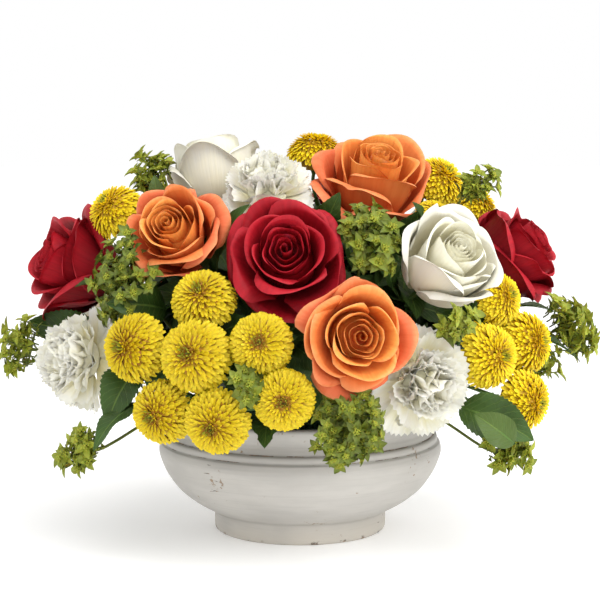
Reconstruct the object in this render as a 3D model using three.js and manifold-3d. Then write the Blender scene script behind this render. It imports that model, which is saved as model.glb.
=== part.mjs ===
// A floral table centerpiece: roses, carnations, button chrysanthemums and bupleurum, cut and set in a block of wet
// floral foam inside a footed, whitewashed bowl. It is an all-round arrangement, and its front faces -Y.
// Millimetres, +Z up. The origin is on the table under the middle of the bowl's foot.
import * as THREE from "three";
import { ConvexGeometry } from "three/addons/geometries/ConvexGeometry.js";
import { mergeVertices } from "three/addons/utils/BufferGeometryUtils.js";
import Module from "manifold-3d";

const wasm = await Module();
wasm.setup();

// ---------------------------------------------------------------- driving dimensions

const GAP = 0.4; // left between two pieces that touch
const BLADE = 0.8; // thickness of a petal or a leaf
const FAN = THREE.MathUtils.degToRad(137.5); // the golden angle, by which plants set one part after the next

// The bowl's section, as [radius, height]: up the outside, over the lip and down the inside.
const BOWL_OUTSIDE = [
  [0, 0], [62.8, 0], [64.3, 2], [64, 11.2], [73.5, 15.2], [83.4, 21.5], [93.4, 31.5], [101.6, 45.5], [105.9, 59],
  [105, 66], [102.2, 67.2], [102.4, 71.6], [99.4, 73], [98.4, 80], [101.4, 88], [99.5, 91.5],
];
const BOWL_INSIDE = [[95, 91], [93, 58], [74, 24], [0, 14]];
const BOWL_SIDES = 28;
const FOAM_SECTION = [[0, 16], [60, 25], [78, 42], [78, 100], [66, 111], [0, 111]];
const FOAM_SIDES = 10;

// The stems of one side of the bowl run together in the foam, this far out from its middle and this high.
const HUB_RADIUS = 34;
const HUB_HEIGHT = 74;
const HUB_SIZE = 6;
const STEM = 1.9; // radius of a rose's or a carnation's stem
const TWIG = 1.4; // radius of a chrysanthemum's side stem, or of a leafy twig
const THREAD = 1.1; // radius of a bupleurum's stem
const RAY = 0.88; // and of one of the rays that it forks into
const LIP_RADIUS = 97; // how far out a low stem passes over the bowl's lip
const LIP_CLEAR = 101; // and the least height that it passes at
const BUPLEURUM_REACH = 62; // how far from the foam's middle the thin stems of bupleurum stop

const SECTORS = [
  { name: "greens_front", middle: 0 },
  { name: "greens_right", middle: 72 },
  { name: "greens_back_right", middle: 144 },
  { name: "greens_back_left", middle: -144 },
  { name: "greens_left", middle: -72 },
];

// Each bloom: where its middle is, which way it faces (azimuth from the front towards the right, and elevation, in
// degrees), how wide it is, and for a rose how far it has opened, from 0 to 1.
const ROSES = [
  { name: "rose_red_centre", colour: "red", at: [-9, -108, 213], face: [-3, 24], across: 87, open: 0.8 },
  { name: "rose_red_left", colour: "red", at: [-166, -10, 199], face: [-72, 24], across: 86, open: 0.6 },
  { name: "rose_red_right", colour: "red", at: [157, -8, 207], face: [74, 34], across: 82, open: 0.6 },
  { name: "rose_red_back", colour: "red", at: [12, 104, 208], face: [176, 30], across: 86, open: 0.8 },
  { name: "rose_orange_left", colour: "orange", at: [-87, -78, 227], face: [-18, 30], across: 73, open: 0.6 },
  { name: "rose_orange_front", colour: "orange", at: [38, -148, 165], face: [8, 6], across: 80, open: 0.9 },
  { name: "rose_orange_top", colour: "orange", at: [55, -20, 259], face: [20, 62], across: 90, open: 0.7 },
  { name: "rose_orange_back", colour: "orange", at: [-92, 84, 206], face: [-140, 32], across: 78, open: 0.7 },
  { name: "rose_white_right", colour: "white", at: [101, -92, 207], face: [30, 36], across: 75, open: 0.3 },
  { name: "rose_white_top", colour: "white", at: [-64, 16, 266], face: [-160, 70], across: 74, open: 0.4 },
  { name: "rose_white_back", colour: "white", at: [104, 84, 204], face: [135, 34], across: 74, open: 0.5 },
];
const CARNATIONS = [
  { name: "carnation_top", at: [-24, -47, 259], face: [-8, 54], across: 75 },
  { name: "carnation_left", at: [-160, -70, 138], face: [-54, 10], across: 80 },
  { name: "carnation_front", at: [84, -118, 128], face: [22, 0], across: 81 },
  { name: "carnation_back_left", at: [-158, 58, 148], face: [-112, 18], across: 76 },
  { name: "carnation_back", at: [22, 146, 134], face: [170, 8], across: 76 },
];
// The chrysanthemums grow several to a stem, and `spray` says which heads share one.
const POMS = [
  { name: "pom_front_1", spray: "left", at: [-117, -118, 153], face: [-46, 8], across: 47 },
  { name: "pom_front_2", spray: "left", at: [-73, -140, 151], face: [-24, 14], across: 49 },
  { name: "pom_front_3", spray: "left", at: [-68, -116, 188], face: [-20, 40], across: 44 },
  { name: "pom_front_4", spray: "front", at: [-27, -146, 160], face: [-8, 14], across: 42 },
  { name: "pom_front_5", spray: "left", at: [-97, -132, 109], face: [-36, -6], across: 43 },
  { name: "pom_front_6", spray: "front", at: [-58, -150, 105], face: [-20, -12], across: 44 },
  { name: "pom_front_7", spray: "front", at: [-11, -156, 122], face: [-2, 0], across: 41 },
  { name: "pom_left_1", spray: "top_left", at: [-137, -30, 243], face: [-60, 42], across: 41 },
  { name: "pom_left_2", spray: "top_left", at: [-114, 12, 238], face: [-100, 52], across: 36 },
  { name: "pom_top", spray: "top", at: [12, 16, 284], face: [120, 84], across: 42 },
  { name: "pom_top_right_1", spray: "top_right", at: [106, 14, 262], face: [58, 48], across: 42 },
  { name: "pom_top_right_2", spray: "top_right", at: [98, -38, 239], face: [50, 40], across: 26 },
  { name: "pom_top_right_3", spray: "top_right", at: [135, 32, 243], face: [78, 46], across: 36 },
  { name: "pom_right_1", spray: "right", at: [144, -66, 182], face: [56, 20], across: 38 },
  { name: "pom_right_2", spray: "right", at: [166, -56, 148], face: [64, 10], across: 45 },
  { name: "pom_right_3", spray: "right", at: [163, -74, 108], face: [60, -4], across: 44 },
  { name: "pom_right_4", spray: "right", at: [136, -90, 143], face: [48, 6], across: 45 },
  { name: "pom_back_1", spray: "back_left", at: [-44, 138, 166], face: [-164, 22], across: 42 },
  { name: "pom_back_2", spray: "back_left", at: [-88, 124, 140], face: [-144, 10], across: 44 },
  { name: "pom_back_3", spray: "back_left", at: [-44, 146, 120], face: [-162, -2], across: 42 },
  { name: "pom_back_4", spray: "back_right", at: [90, 126, 150], face: [144, 14], across: 44 },
  { name: "pom_back_5", spray: "back_right", at: [132, 96, 132], face: [124, 6], across: 42 },
  { name: "pom_back_6", spray: "back_right", at: [154, 48, 160], face: [104, 20], across: 42 },
];
// Each bupleurum spray: the middle of its cluster, the cluster's width and height, how far its long side leans from
// upright (degrees), and how many starry heads it carries.
const BUPLEURUM = [
  { name: "bupleurum_top_left", at: [-112, -10, 272], size: [18, 34], lean: -20, heads: 3 },
  { name: "bupleurum_left", at: [-130, -92, 200], size: [44, 56], lean: -10, heads: 5 },
  { name: "bupleurum_far_left", at: [-209, -34, 142], size: [16, 42], lean: 12, heads: 3 },
  { name: "bupleurum_low_left", at: [-158, -100, 78], size: [18, 36], lean: 40, heads: 3 },
  { name: "bupleurum_front_left", at: [-35, -160, 134], size: [12, 26], lean: -20, heads: 3 },
  { name: "bupleurum_front", at: [36, -158, 102], size: [34, 46], lean: 40, heads: 5 },
  { name: "bupleurum_centre", at: [51, -104, 230], size: [28, 48], lean: 0, heads: 5 },
  { name: "bupleurum_top_right", at: [132, -40, 264], size: [22, 18], lean: 60, heads: 3 },
  { name: "bupleurum_right", at: [205, -26, 156], size: [32, 52], lean: -32, heads: 5 },
  { name: "bupleurum_low_right", at: [150, -106, 78], size: [18, 30], lean: -35, heads: 3 },
  { name: "bupleurum_right_front", at: [110, -128, 172], size: [20, 18], lean: 0, heads: 3 },
  { name: "bupleurum_back_left", at: [-124, 118, 178], size: [30, 36], lean: 20, heads: 3 },
  { name: "bupleurum_back", at: [52, 132, 182], size: [26, 36], lean: -10, heads: 3 },
  { name: "bupleurum_back_right", at: [190, 52, 124], size: [26, 40], lean: 25, heads: 4 },
];
// The leaves that show between the blooms: where each starts and ends, and how wide it is.
const LEAVES = [
  { kind: "broad", root: [-146, -8, 146], tip: [-206, -16, 154], wide: 24 },
  { kind: "broad", root: [-112, -106, 112], tip: [-142, -128, 82], wide: 20 },
  { kind: "broad", root: [-122, -54, 182], tip: [-160, -70, 190], wide: 24 },
  { kind: "broad", root: [112, -98, 108], tip: [162, -118, 88], wide: 28 },
  { kind: "lobed", root: [-20, -112, 106], tip: [-24, -146, 88], wide: 24 },
  { kind: "lobed", root: [40, -110, 104], tip: [46, -140, 88], wide: 20 },
  { kind: "broad", root: [16, -58, 222], tip: [28, -84, 258], wide: 24 },
  { kind: "broad", root: [82, -48, 222], tip: [80, -66, 250], wide: 20 },
  { kind: "broad", root: [140, -28, 164], tip: [186, -40, 168], wide: 24 },
  { kind: "broad", root: [-92, -24, 242], tip: [-116, -34, 268], wide: 18 },
  { kind: "broad", root: [168, -20, 146], tip: [206, -34, 130], wide: 16 },
  { kind: "broad", root: [-148, 12, 130], tip: [-200, 14, 120], wide: 26 },
  { kind: "broad", root: [-118, 92, 120], tip: [-162, 112, 98], wide: 28 },
  { kind: "broad", root: [-34, 100, 190], tip: [-44, 138, 206], wide: 26 },
  { kind: "lobed", root: [-10, 116, 108], tip: [-14, 152, 92], wide: 26 },
  { kind: "broad", root: [62, 112, 112], tip: [74, 152, 96], wide: 28 },
  { kind: "broad", root: [132, 66, 112], tip: [172, 84, 92], wide: 28 },
  { kind: "broad", root: [126, 36, 196], tip: [172, 50, 196], wide: 26 },
  { kind: "broad", root: [56, 70, 222], tip: [72, 92, 252], wide: 26 },
  { kind: "broad", root: [-40, 60, 230], tip: [-52, 78, 262], wide: 26 },
];

const COLOURS = {
  bowl: "#e9e6e0", foam: "#3d6b4a", green: "#3c6428", bupleurum: "#a6b83a", pom: "#f2cc12", carnation: "#f7f4ec",
  red: "#a80f20", orange: "#f0853a", white: "#f6f2e0",
};

// ---------------------------------------------------------------- tools for solids

function vector([x, y, z]) {
  return new THREE.Vector3(x, y, z);
}

// Which way something faces, from its azimuth and elevation in degrees.
function facing([azimuth, elevation]) {
  const a = THREE.MathUtils.degToRad(azimuth);
  const e = THREE.MathUtils.degToRad(elevation);
  return new THREE.Vector3(Math.sin(a) * Math.cos(e), -Math.cos(a) * Math.cos(e), Math.sin(e));
}

// The frame of a thing that stands at a point: its own +Z looks along the axis, and its +Y leans upwards.
function standing(point, axis) {
  const side = new THREE.Vector3(0, 0, 1).cross(axis).normalize();
  const up = new THREE.Vector3().crossVectors(axis, side);
  return new THREE.Matrix4().makeBasis(side, up, axis).setPosition(point);
}

function toSolid(geometry) {
  const bare = new THREE.BufferGeometry();
  bare.setAttribute("position", geometry.getAttribute("position"));
  bare.setIndex(geometry.getIndex());
  const merged = mergeVertices(bare, 1e-4);
  const corners = merged.getIndex().array;
  const kept = [];
  for (let i = 0; i < corners.length; i += 3) {
    const [a, b, c] = [corners[i], corners[i + 1], corners[i + 2]];
    if (a !== b && b !== c && c !== a) kept.push(a, b, c);
  }
  const vertProperties = merged.getAttribute("position").array;
  return new wasm.Manifold(new wasm.Mesh({ numProp: 3, vertProperties, triVerts: Uint32Array.from(kept) }));
}

function toGeometry(solid) {
  const { vertProperties, triVerts } = solid.getMesh();
  const geometry = new THREE.BufferGeometry();
  geometry.setAttribute("position", new THREE.BufferAttribute(Float32Array.from(vertProperties), 3));
  geometry.setIndex(new THREE.BufferAttribute(Uint32Array.from(triVerts), 1));
  return geometry;
}

function join(geometries) {
  return geometries.map(toSolid).reduce((whole, next) => whole.add(next));
}

function surface(points, faces) {
  const geometry = new THREE.BufferGeometry();
  geometry.setFromPoints(points);
  geometry.setIndex(faces.flat());
  return geometry;
}

// A thin sheet made solid: it gets half its thickness on each side, the same triangles on both faces, and a rim.
function blade(points, faces, thickness = BLADE) {
  const sheet = surface(points, faces);
  sheet.computeVertexNormals();
  const normals = sheet.getAttribute("normal");
  const offset = points.map((_, i) => vector([normals.getX(i), normals.getY(i), normals.getZ(i)]));
  const front = points.map((p, i) => p.clone().addScaledVector(offset[i], thickness / 2));
  const back = points.map((p, i) => p.clone().addScaledVector(offset[i], -thickness / 2));
  const count = points.length;
  const edges = new Set(faces.flatMap(([a, b, c]) => [`${a},${b}`, `${b},${c}`, `${c},${a}`]));
  const shell = faces.flatMap(([a, b, c]) => [[a, b, c], [c + count, b + count, a + count]]);
  for (const edge of edges) {
    const [a, b] = edge.split(",").map(Number);
    if (edges.has(`${b},${a}`)) continue;
    shell.push([b, a, a + count], [b, a + count, b + count]);
  }
  return surface([...front, ...back], shell);
}

// A stalk with three sides, from point to point of its route.
function stalk(route, radius, endRadius = radius) {
  const SIDES = 3;
  const points = [];
  route.forEach((point, i) => {
    const next = route[Math.min(i + 1, route.length - 1)];
    const tangent = new THREE.Vector3().subVectors(next, route[Math.max(i - 1, 0)]);
    const frame = standing(point, tangent.normalize());
    const width = i === route.length - 1 ? endRadius : radius;
    for (let side = 0; side < SIDES; side += 1) {
      const angle = side * Math.PI * 2 / SIDES;
      points.push(new THREE.Vector3(Math.cos(angle) * width, Math.sin(angle) * width, 0).applyMatrix4(frame));
    }
  });
  const last = points.length - SIDES;
  const faces = [[0, 2, 1], [last, last + 1, last + 2]];
  for (let row = 0; row < last; row += SIDES) {
    for (let side = 0; side < SIDES; side += 1) {
      const [a, b] = [row + side, row + (side + 1) % SIDES];
      faces.push([a, b, b + SIDES], [a, b + SIDES, a + SIDES]);
    }
  }
  return surface(points, faces);
}

// A star of pointed lobes on a stalk: it tapers below to the three-sided stalk, which runs down to the start.
function starOnStalk({ lobes, tip, notch, droop, above, below }, frame, start, radius) {
  const rim = [];
  for (let i = 0; i < lobes * 2; i += 1) {
    const angle = i * Math.PI / lobes;
    const reach = i % 2 === 0 ? tip : notch;
    rim.push(new THREE.Vector3(Math.cos(angle) * reach, Math.sin(angle) * reach, i % 2 === 0 ? -droop : 0));
  }
  const neck = [0, 1, 2].map((i) => {
    const angle = i * Math.PI * 2 / 3;
    return new THREE.Vector3(Math.cos(angle) * radius, Math.sin(angle) * radius, -below);
  });
  const local = [new THREE.Vector3(0, 0, above), ...rim, ...neck].map((point) => point.applyMatrix4(frame));
  const middle = new THREE.Vector3(0, 0, -below).applyMatrix4(frame);
  const points = [...local, ...local.slice(-3).map((point) => point.clone().sub(middle).add(start))];
  const firstNeck = 1 + rim.length;
  const neckOf = (i) => firstNeck + Math.floor(i * 3 / rim.length + 0.5) % 3;
  const faces = [[firstNeck + 3, firstNeck + 5, firstNeck + 4]];
  for (let i = 0; i < rim.length; i += 1) {
    const [here, next] = [1 + i, 1 + (i + 1) % rim.length];
    faces.push([0, here, next], [neckOf(i), next, here]);
    if (neckOf(i) !== neckOf(i + 1)) faces.push([next, neckOf(i), neckOf(i + 1)]);
  }
  for (let i = 0; i < 3; i += 1) {
    const [a, b] = [firstNeck + i, firstNeck + (i + 1) % 3];
    faces.push([b, a, a + 3], [b, a + 3, b + 3]);
  }
  return surface(points, faces);
}

function turned(section, sides) {
  return new THREE.LatheGeometry(section.map(([r, z]) => new THREE.Vector2(r, z)), sides).rotateX(Math.PI / 2);
}

// ---------------------------------------------------------------- blooms, each standing at its own origin

// The two faces of a thin ring of petals, given row by row from its root to its rim. Where the ring folds back
// under itself, a point moves further, so that the sheet keeps its thickness round the fold.
function thicken(rows) {
  const columns = rows[0].length;
  const along = new THREE.Vector3();
  const unit = (from, to) => new THREE.Vector3().subVectors(to, from).normalize();
  const shifted = (side) => rows.map((row, r) => row.map((point, c) => {
    along.subVectors(rows[Math.min(r + 1, rows.length - 1)][c], rows[Math.max(r - 1, 0)][c]);
    const around = unit(point, row[(c + 1) % columns]).add(unit(row[(c + columns - 1) % columns], point));
    const distance = side * BLADE / around.length();
    return point.clone().addScaledVector(along.cross(around).normalize(), distance);
  }));
  return { outside: shifted(-1), inside: shifted(1) };
}

// A bloom as one closed skin: whorl within whorl, each climbed on its outside and left again down its inside, and
// then the solid bud in the middle. Both sides of a sheet are split into triangles along the same diagonals.
function whorled(whorls, bud, heart) {
  const rows = [];
  const downwards = new Set();
  for (const whorl of whorls) {
    const { outside, inside } = thicken(whorl);
    rows.push(...outside);
    for (const row of inside.slice(1).reverse()) {
      downwards.add(rows.length);
      rows.push(row);
    }
  }
  rows.push(...bud);
  const columns = rows[0].length;
  const points = [new THREE.Vector3(0, 0, 0), ...rows.flat(), new THREE.Vector3(0, 0, heart)];
  const last = points.length - 1;
  const faces = [];
  for (let c = 0; c < columns; c += 1) {
    const next = (c + 1) % columns;
    faces.push([0, 1 + next, 1 + c]);
    for (let row = 0; row + 1 < rows.length; row += 1) {
      const [a, b] = [1 + row * columns + c, 1 + row * columns + next];
      if (downwards.has(row)) faces.push([a, b, a + columns], [b, b + columns, a + columns]);
      else faces.push([a, b, b + columns], [a, b + columns, a + columns]);
    }
    faces.push([last - columns + c, last - columns + next, last]);
  }
  return toSolid(surface(points, faces));
}

// One row of a rose's whorl. Each petal stands inside its neighbour on one side and outside it on the other.
function roseRow(radius, height, lap, turn) {
  const PETALS = 5;
  const ROUNDING = 0.16; // how much lower a petal's sides are than its middle
  const EVEN = Math.PI / PETALS * 2 / 3; // half a petal's width where its sides and middles are evenly spaced
  const WIDE = Math.PI / PETALS * 0.94; // and where its side comes close to its neighbour's
  const half = lap === 0 ? EVEN : WIDE;
  const row = [];
  for (let petal = 0; petal < PETALS; petal += 1) {
    for (const side of [-1, 0, 1]) {
      const angle = turn + petal * Math.PI * 2 / PETALS + side * half;
      const reach = radius * (1 + lap * side);
      const rise = height * (1 - ROUNDING * side * side) - radius * lap * side * 0.6;
      row.push(new THREE.Vector3(Math.cos(angle) * reach, Math.sin(angle) * reach, rise));
    }
  }
  return row;
}

function rose({ across, open }, turn) {
  const LAP = 0.065; // how much further out a petal's lapping side is
  const R = across / 2 / 1.02;
  const H = roseDepth({ across, open });
  const mix = THREE.MathUtils.lerp;
  const outer = [
    [0.12, 0.03], [mix(0.96, 0.8, open), 0.34], [mix(0.82, 0.88, open), mix(0.84, 0.62, open)],
    [mix(0.92, 1, open), mix(0.86, 0.6, open)],
  ];
  const inner = [[0.13, 0.24], [mix(0.54, 0.64, open), mix(1, 0.9, open)]];
  const bud = [[0.15, 0.44], [0.26, 1]];
  const rows = (section, from) => section.map(([r, z], i) => roseRow(r * R, z * H, i === 0 ? 0 : LAP, from));
  return whorled([rows(outer, turn), rows(inner, turn + 0.6)], rows(bud, turn + 1.2), H * 0.84);
}

function roseDepth({ across, open }) {
  return across * (0.8 - 0.2 * open);
}

// One row of a carnation's layer, which is plain at its root and frilled and toothed along its rim.
function carnationRow(radius, height, frill, turn) {
  const PETALS = 5;
  const TEETH = [-0.16, 0.06, 0.02];
  const WAVES = [0, 0.1, -0.08];
  const row = [];
  for (let i = 0; i < PETALS * TEETH.length; i += 1) {
    const angle = turn + i * Math.PI * 2 / (PETALS * TEETH.length);
    const reach = radius * (1 + frill * TEETH[i % TEETH.length]);
    const rise = height + radius * frill * WAVES[i % WAVES.length];
    row.push(new THREE.Vector3(Math.cos(angle) * reach, Math.sin(angle) * reach, rise));
  }
  return row;
}

function carnation({ across }, turn) {
  const R = across / 2 / 1.06;
  const H = carnationDepth({ across });
  const LAYERS = [[0.06, 1, 0.42], [0.2, 0.88, 0.7], [0.34, 0.66, 0.88]]; // root height, then rim radius and height
  const ROOT = 0.14;
  const layers = LAYERS.map(([root, radius, height], i) => [
    carnationRow(ROOT * R, root * H, 0, turn + i * 0.5), carnationRow(radius * R, height * H, 1, turn + i * 0.5),
  ]);
  const tuft = [carnationRow(ROOT * R, 0.5 * H, 0, turn + 1.5), carnationRow(0.36 * R, 0.96 * H, 1, turn + 1.5)];
  return whorled(layers, tuft, H * 0.8);
}

function carnationDepth({ across }) {
  return across * 0.6;
}

// A button chrysanthemum: a dome covered in short petals, each standing out as a point between two hollows.
function pom({ across }, turn) {
  const COLUMNS = 12;
  const TIP = 0.07; // how far a petal's point stands out, and a hollow in
  const R = across / 2;
  const H = pomDepth({ across });
  const RINGS = [[0.97, 0.36], [0.88, 0.66], [0.6, 0.88], [0.3, 0.97]];
  const points = [new THREE.Vector3(0, 0, 0)];
  const faces = [];
  RINGS.forEach(([radius, height], ring) => {
    for (let i = 0; i < COLUMNS; i += 1) {
      const angle = turn + i * Math.PI * 2 / COLUMNS;
      const raised = (i + ring) % 2 === 0 ? TIP : -TIP;
      const reach = R * (radius + raised * radius);
      const rise = H * (height + raised * Math.max(0, height - 0.3));
      points.push(new THREE.Vector3(Math.cos(angle) * reach, Math.sin(angle) * reach, rise));
    }
  });
  points.push(new THREE.Vector3(0, 0, H * 0.9));
  const last = points.length - 1;
  for (let i = 0; i < COLUMNS; i += 1) {
    const next = (i + 1) % COLUMNS;
    faces.push([0, 1 + next, 1 + i]);
    for (let ring = 0; ring + 1 < RINGS.length; ring += 1) {
      const [a, b] = [1 + ring * COLUMNS + i, 1 + ring * COLUMNS + next];
      const [c, d] = [a + COLUMNS, b + COLUMNS];
      if ((i + ring) % 2 === 0) faces.push([a, b, c], [b, d, c]);
      else faces.push([a, b, d], [a, d, c]);
    }
    faces.push([last - COLUMNS + i, last - COLUMNS + next, last]);
  }
  return toSolid(surface(points, faces));
}

function pomDepth({ across }) {
  return across * 0.64;
}

// ---------------------------------------------------------------- placing

const group = new THREE.Group();
const envelopes = []; // what no leaf or spray may enter: the blooms' own hulls

function addPiece(name, solid, colour, roughness) {
  const material = new THREE.MeshStandardMaterial({ color: COLOURS[colour], roughness, metalness: 0 });
  const mesh = new THREE.Mesh(toGeometry(solid), material);
  mesh.name = name;
  group.add(mesh);
  return mesh;
}

// Sets a bloom on its axis so that its middle is where the table says.
function addBloom(bloom, solid, depth, colour) {
  const axis = facing(bloom.face);
  bloom.axis = axis;
  bloom.foot = vector(bloom.at).addScaledVector(axis, -depth * 0.5);
  bloom.frame = standing(bloom.foot, axis);
  const mesh = addPiece(bloom.name, solid, colour, 0.6);
  mesh.applyMatrix4(bloom.frame);
  const corners = mesh.geometry.getAttribute("position");
  const points = [];
  for (let i = 0; i < corners.count; i += 1) {
    points.push(new THREE.Vector3().fromBufferAttribute(corners, i).applyMatrix4(bloom.frame));
  }
  envelopes.push(toSolid(new ConvexGeometry(points)));
}

ROSES.forEach((bloom, i) => addBloom(bloom, rose(bloom, i * FAN), roseDepth(bloom), bloom.colour));
CARNATIONS.forEach((bloom, i) => addBloom(bloom, carnation(bloom, i * FAN), carnationDepth(bloom), "carnation"));
POMS.forEach((bloom, i) => addBloom(bloom, pom(bloom, i * FAN), pomDepth(bloom), "pom"));

// ---------------------------------------------------------------- bupleurum

function clearOf(solid, others) {
  return others.every((other) => solid.intersect(other).volume() < 0.001);
}

// The way in from a point above the bowl to a stem's end in the foam. If it starts low it goes over the lip.
function wayIn(from, end) {
  const reach = Math.hypot(from.x, from.y);
  const share = (reach - LIP_RADIUS) / (reach - Math.hypot(end.x, end.y));
  const crossing = new THREE.Vector3().lerpVectors(from, end, THREE.MathUtils.clamp(share, 0, 1));
  if (share <= 0 || crossing.z >= LIP_CLEAR) return [from, end];
  return [from, new THREE.Vector3(from.x, from.y, 0).setLength(LIP_RADIUS).setZ(LIP_CLEAR + STEM), end];
}

// The same way in, but a little deeper, for the hole that it leaves.
function deeper(route) {
  const [before, end] = route.slice(-2);
  const inward = new THREE.Vector3().subVectors(end, before).setLength(GAP);
  return [...route.slice(0, -1), end.clone().add(inward)];
}

// A spray: one thread of a stem that forks into rays, with a star of pointed bracts round the florets on each.
function bupleurum({ at, size, lean, heads }, blooms) {
  const FORK = 16; // how far behind the cluster the first ray leaves the stem
  const STAGGER = 2.6; // and how much lower each next one does
  const DOME = 8; // how much further out the middle of the cluster stands than its edge
  const STAR = { lobes: 5, tip: 8, notch: 3.6, droop: 0.6, above: 2.2, below: 2 };
  const [STEP, STEPS] = [2, 14]; // a head moves out by this much, this often, until it is clear of the blooms
  const FLATTEN = 0.7; // how much of its rise above the stems' meeting point a cluster leans back by
  const HIGHEST_END = 100; // a stem that comes in high ends here, just under the foam's top
  const middle = vector(at);
  const out = new THREE.Vector3(middle.x, middle.y, (middle.z - HUB_HEIGHT) * FLATTEN).normalize();
  const frame = standing(middle, out);
  const tilt = THREE.MathUtils.degToRad(-lean);
  const fork = middle.clone().addScaledVector(out, -FORK);
  const below = fork.clone().addScaledVector(out, -STAGGER * heads);
  const parts = [];
  for (let i = 0; i < heads; i += 1) {
    const reach = Math.sqrt((i + 0.4) / heads);
    const [x, y] = [Math.cos(i * FAN) * reach * size[0] / 2, Math.sin(i * FAN) * reach * size[1] / 2];
    const spot = new THREE.Vector3(
      x * Math.cos(tilt) - y * Math.sin(tilt), x * Math.sin(tilt) + y * Math.cos(tilt), DOME * (1 - reach * reach),
    ).applyMatrix4(frame);
    const faces = new THREE.Vector3().subVectors(spot, fork).normalize().add(out).normalize();
    const start = fork.clone().addScaledVector(out, -STAGGER * i);
    let head = null;
    for (let step = 0; step < STEPS; step += 1) {
      const placed = standing(spot.clone().addScaledVector(out, step * STEP), faces);
      head = starOnStalk(STAR, placed, start, RAY);
      if (clearOf(toSolid(head), blooms)) break;
    }
    parts.push(head);
  }
  const end = new THREE.Vector3(fork.x, fork.y, 0).setLength(BUPLEURUM_REACH).setZ(Math.min(fork.z, HIGHEST_END));
  const route = [fork.clone().addScaledVector(out, 1), ...wayIn(below, end)];
  parts.push(stalk(route, THREAD));
  return { solid: join(parts), hole: toSolid(stalk(deeper(route), THREAD + GAP * 2)) };
}

BUPLEURUM.forEach((spray) => {
  Object.assign(spray, bupleurum(spray, envelopes));
  addPiece(spray.name, spray.solid, "bupleurum", 0.6);
});

// ---------------------------------------------------------------- stems and leaves

function sectorOf(point) {
  const azimuth = THREE.MathUtils.radToDeg(Math.atan2(point.x, -point.y));
  const away = ({ middle }) => Math.abs(THREE.MathUtils.euclideanModulo(azimuth - middle + 180, 360) - 180);
  return SECTORS.reduce((best, sector) => (away(sector) < away(best) ? sector : best));
}

for (const sector of SECTORS) {
  sector.hub = facing([sector.middle, 0]).setLength(HUB_RADIUS).setZ(HUB_HEIGHT);
  sector.parts = [new THREE.IcosahedronGeometry(HUB_SIZE).translate(...sector.hub.toArray())];
  sector.routes = [];
  sector.leaves = [];
}

// A leaf on its stalk, as one blade: a folded midrib, an arched blade and edges that wave. Its stations are [share
// of the blade's length, half-width], and the stalk runs from the start to the blade's base.
const LEAF_KINDS = {
  broad: [[0.03, 0.07], [0.35, 1], [0.72, 0.7]],
  lobed: [[0.03, 0.07], [0.25, 0.85], [0.45, 0.45], [0.7, 0.9]],
  small: [[0.3, 1], [0.7, 0.75]],
};

function leaf({ kind, start, root, tip, wide }) {
  const FOLD = 0.14;
  const ARCH = 0.5;
  const WAVE = 0.04;
  const along = new THREE.Vector3().subVectors(tip, root);
  const out = new THREE.Vector3(root.x, root.y, 60).normalize();
  const side = new THREE.Vector3().crossVectors(along, out).setLength(wide / 2);
  const normal = new THREE.Vector3().crossVectors(side, along).normalize();
  const points = [start.clone()];
  LEAF_KINDS[kind].forEach(([share, half], i) => {
    const arch = along.length() * ARCH * share * (1 - share);
    const wave = along.length() * WAVE * (i % 2 === 0 ? 1 : -1) * half;
    for (const across of [-1, 0, 1]) {
      const lift = across === 0 ? arch - FOLD * wide / 2 * half : arch + wave;
      points.push(root.clone().addScaledVector(along, share).addScaledVector(side, across * half)
        .addScaledVector(normal, lift));
    }
  });
  points.push(tip.clone());
  const last = points.length - 1;
  const faces = [[0, 2, 1], [0, 3, 2]];
  for (let i = 1; i + 3 < last; i += 3) {
    for (const a of [i, i + 1]) faces.push([a, a + 1, a + 4], [a, a + 4, a + 3]);
  }
  faces.push([last - 3, last - 2, last], [last - 2, last - 1, last]);
  return blade(points, faces);
}

// A bloom's green parts: the cup of sepals under it, and the start of its stem.
const ROSE_SEPALS = { lobes: 5, tip: 13, notch: 6, droop: 2.5, above: 0.2, below: 8 };
const POM_CUP = 3.2; // radius of the green cup that a chrysanthemum's side stem widens to
const LEAVE = 24; // how far behind a bloom its stem runs straight
const CARNATION_CALYX = [[0, -LEAVE - 2], [2.4, -LEAVE], [6.5, -2], [0, -GAP]];

function sepals(bloom, shape, end) {
  const seat = standing(bloom.foot.clone().addScaledVector(bloom.axis, -GAP - shape.above), bloom.axis);
  return starOnStalk(shape, seat, end, TWIG);
}

// A single stem with its bloom's cup on top. It may carry a leaf.
function addStem(bloom, cup) {
  const leave = bloom.foot.clone().addScaledVector(bloom.axis, -LEAVE);
  const sector = sectorOf(leave);
  const route = wayIn(leave, sector.hub);
  sector.parts.push(cup(leave), stalk(route, STEM));
  sector.routes.push(route);
  sector.leaves.push({ from: route[0], towards: route[1] });
}

ROSES.forEach((bloom) => addStem(bloom, (leave) => sepals(bloom, ROSE_SEPALS, leave)));
CARNATIONS.forEach((bloom) => addStem(bloom, () => turned(CARNATION_CALYX, 6).applyMatrix4(bloom.frame)));

const sprays = Map.groupBy(POMS, ({ spray }) => spray);
for (const heads of sprays.values()) {
  const FORK = 46; // how far behind the heads their side stems part
  const mean = heads.reduce((sum, { foot }) => sum.add(foot), new THREE.Vector3()).divideScalar(heads.length);
  const sector = sectorOf(mean);
  const inward = new THREE.Vector3().subVectors(sector.hub, mean).setLength(heads.length > 1 ? FORK : FORK / 2);
  const fork = mean.clone().add(inward);
  const route = wayIn(fork, sector.hub);
  sector.parts.push(stalk(route, STEM));
  sector.routes.push(route);
  for (const { foot, axis } of heads) {
    sector.parts.push(stalk([fork, foot.clone().addScaledVector(axis, -GAP * 4)], TWIG, POM_CUP));
  }
}

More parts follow.
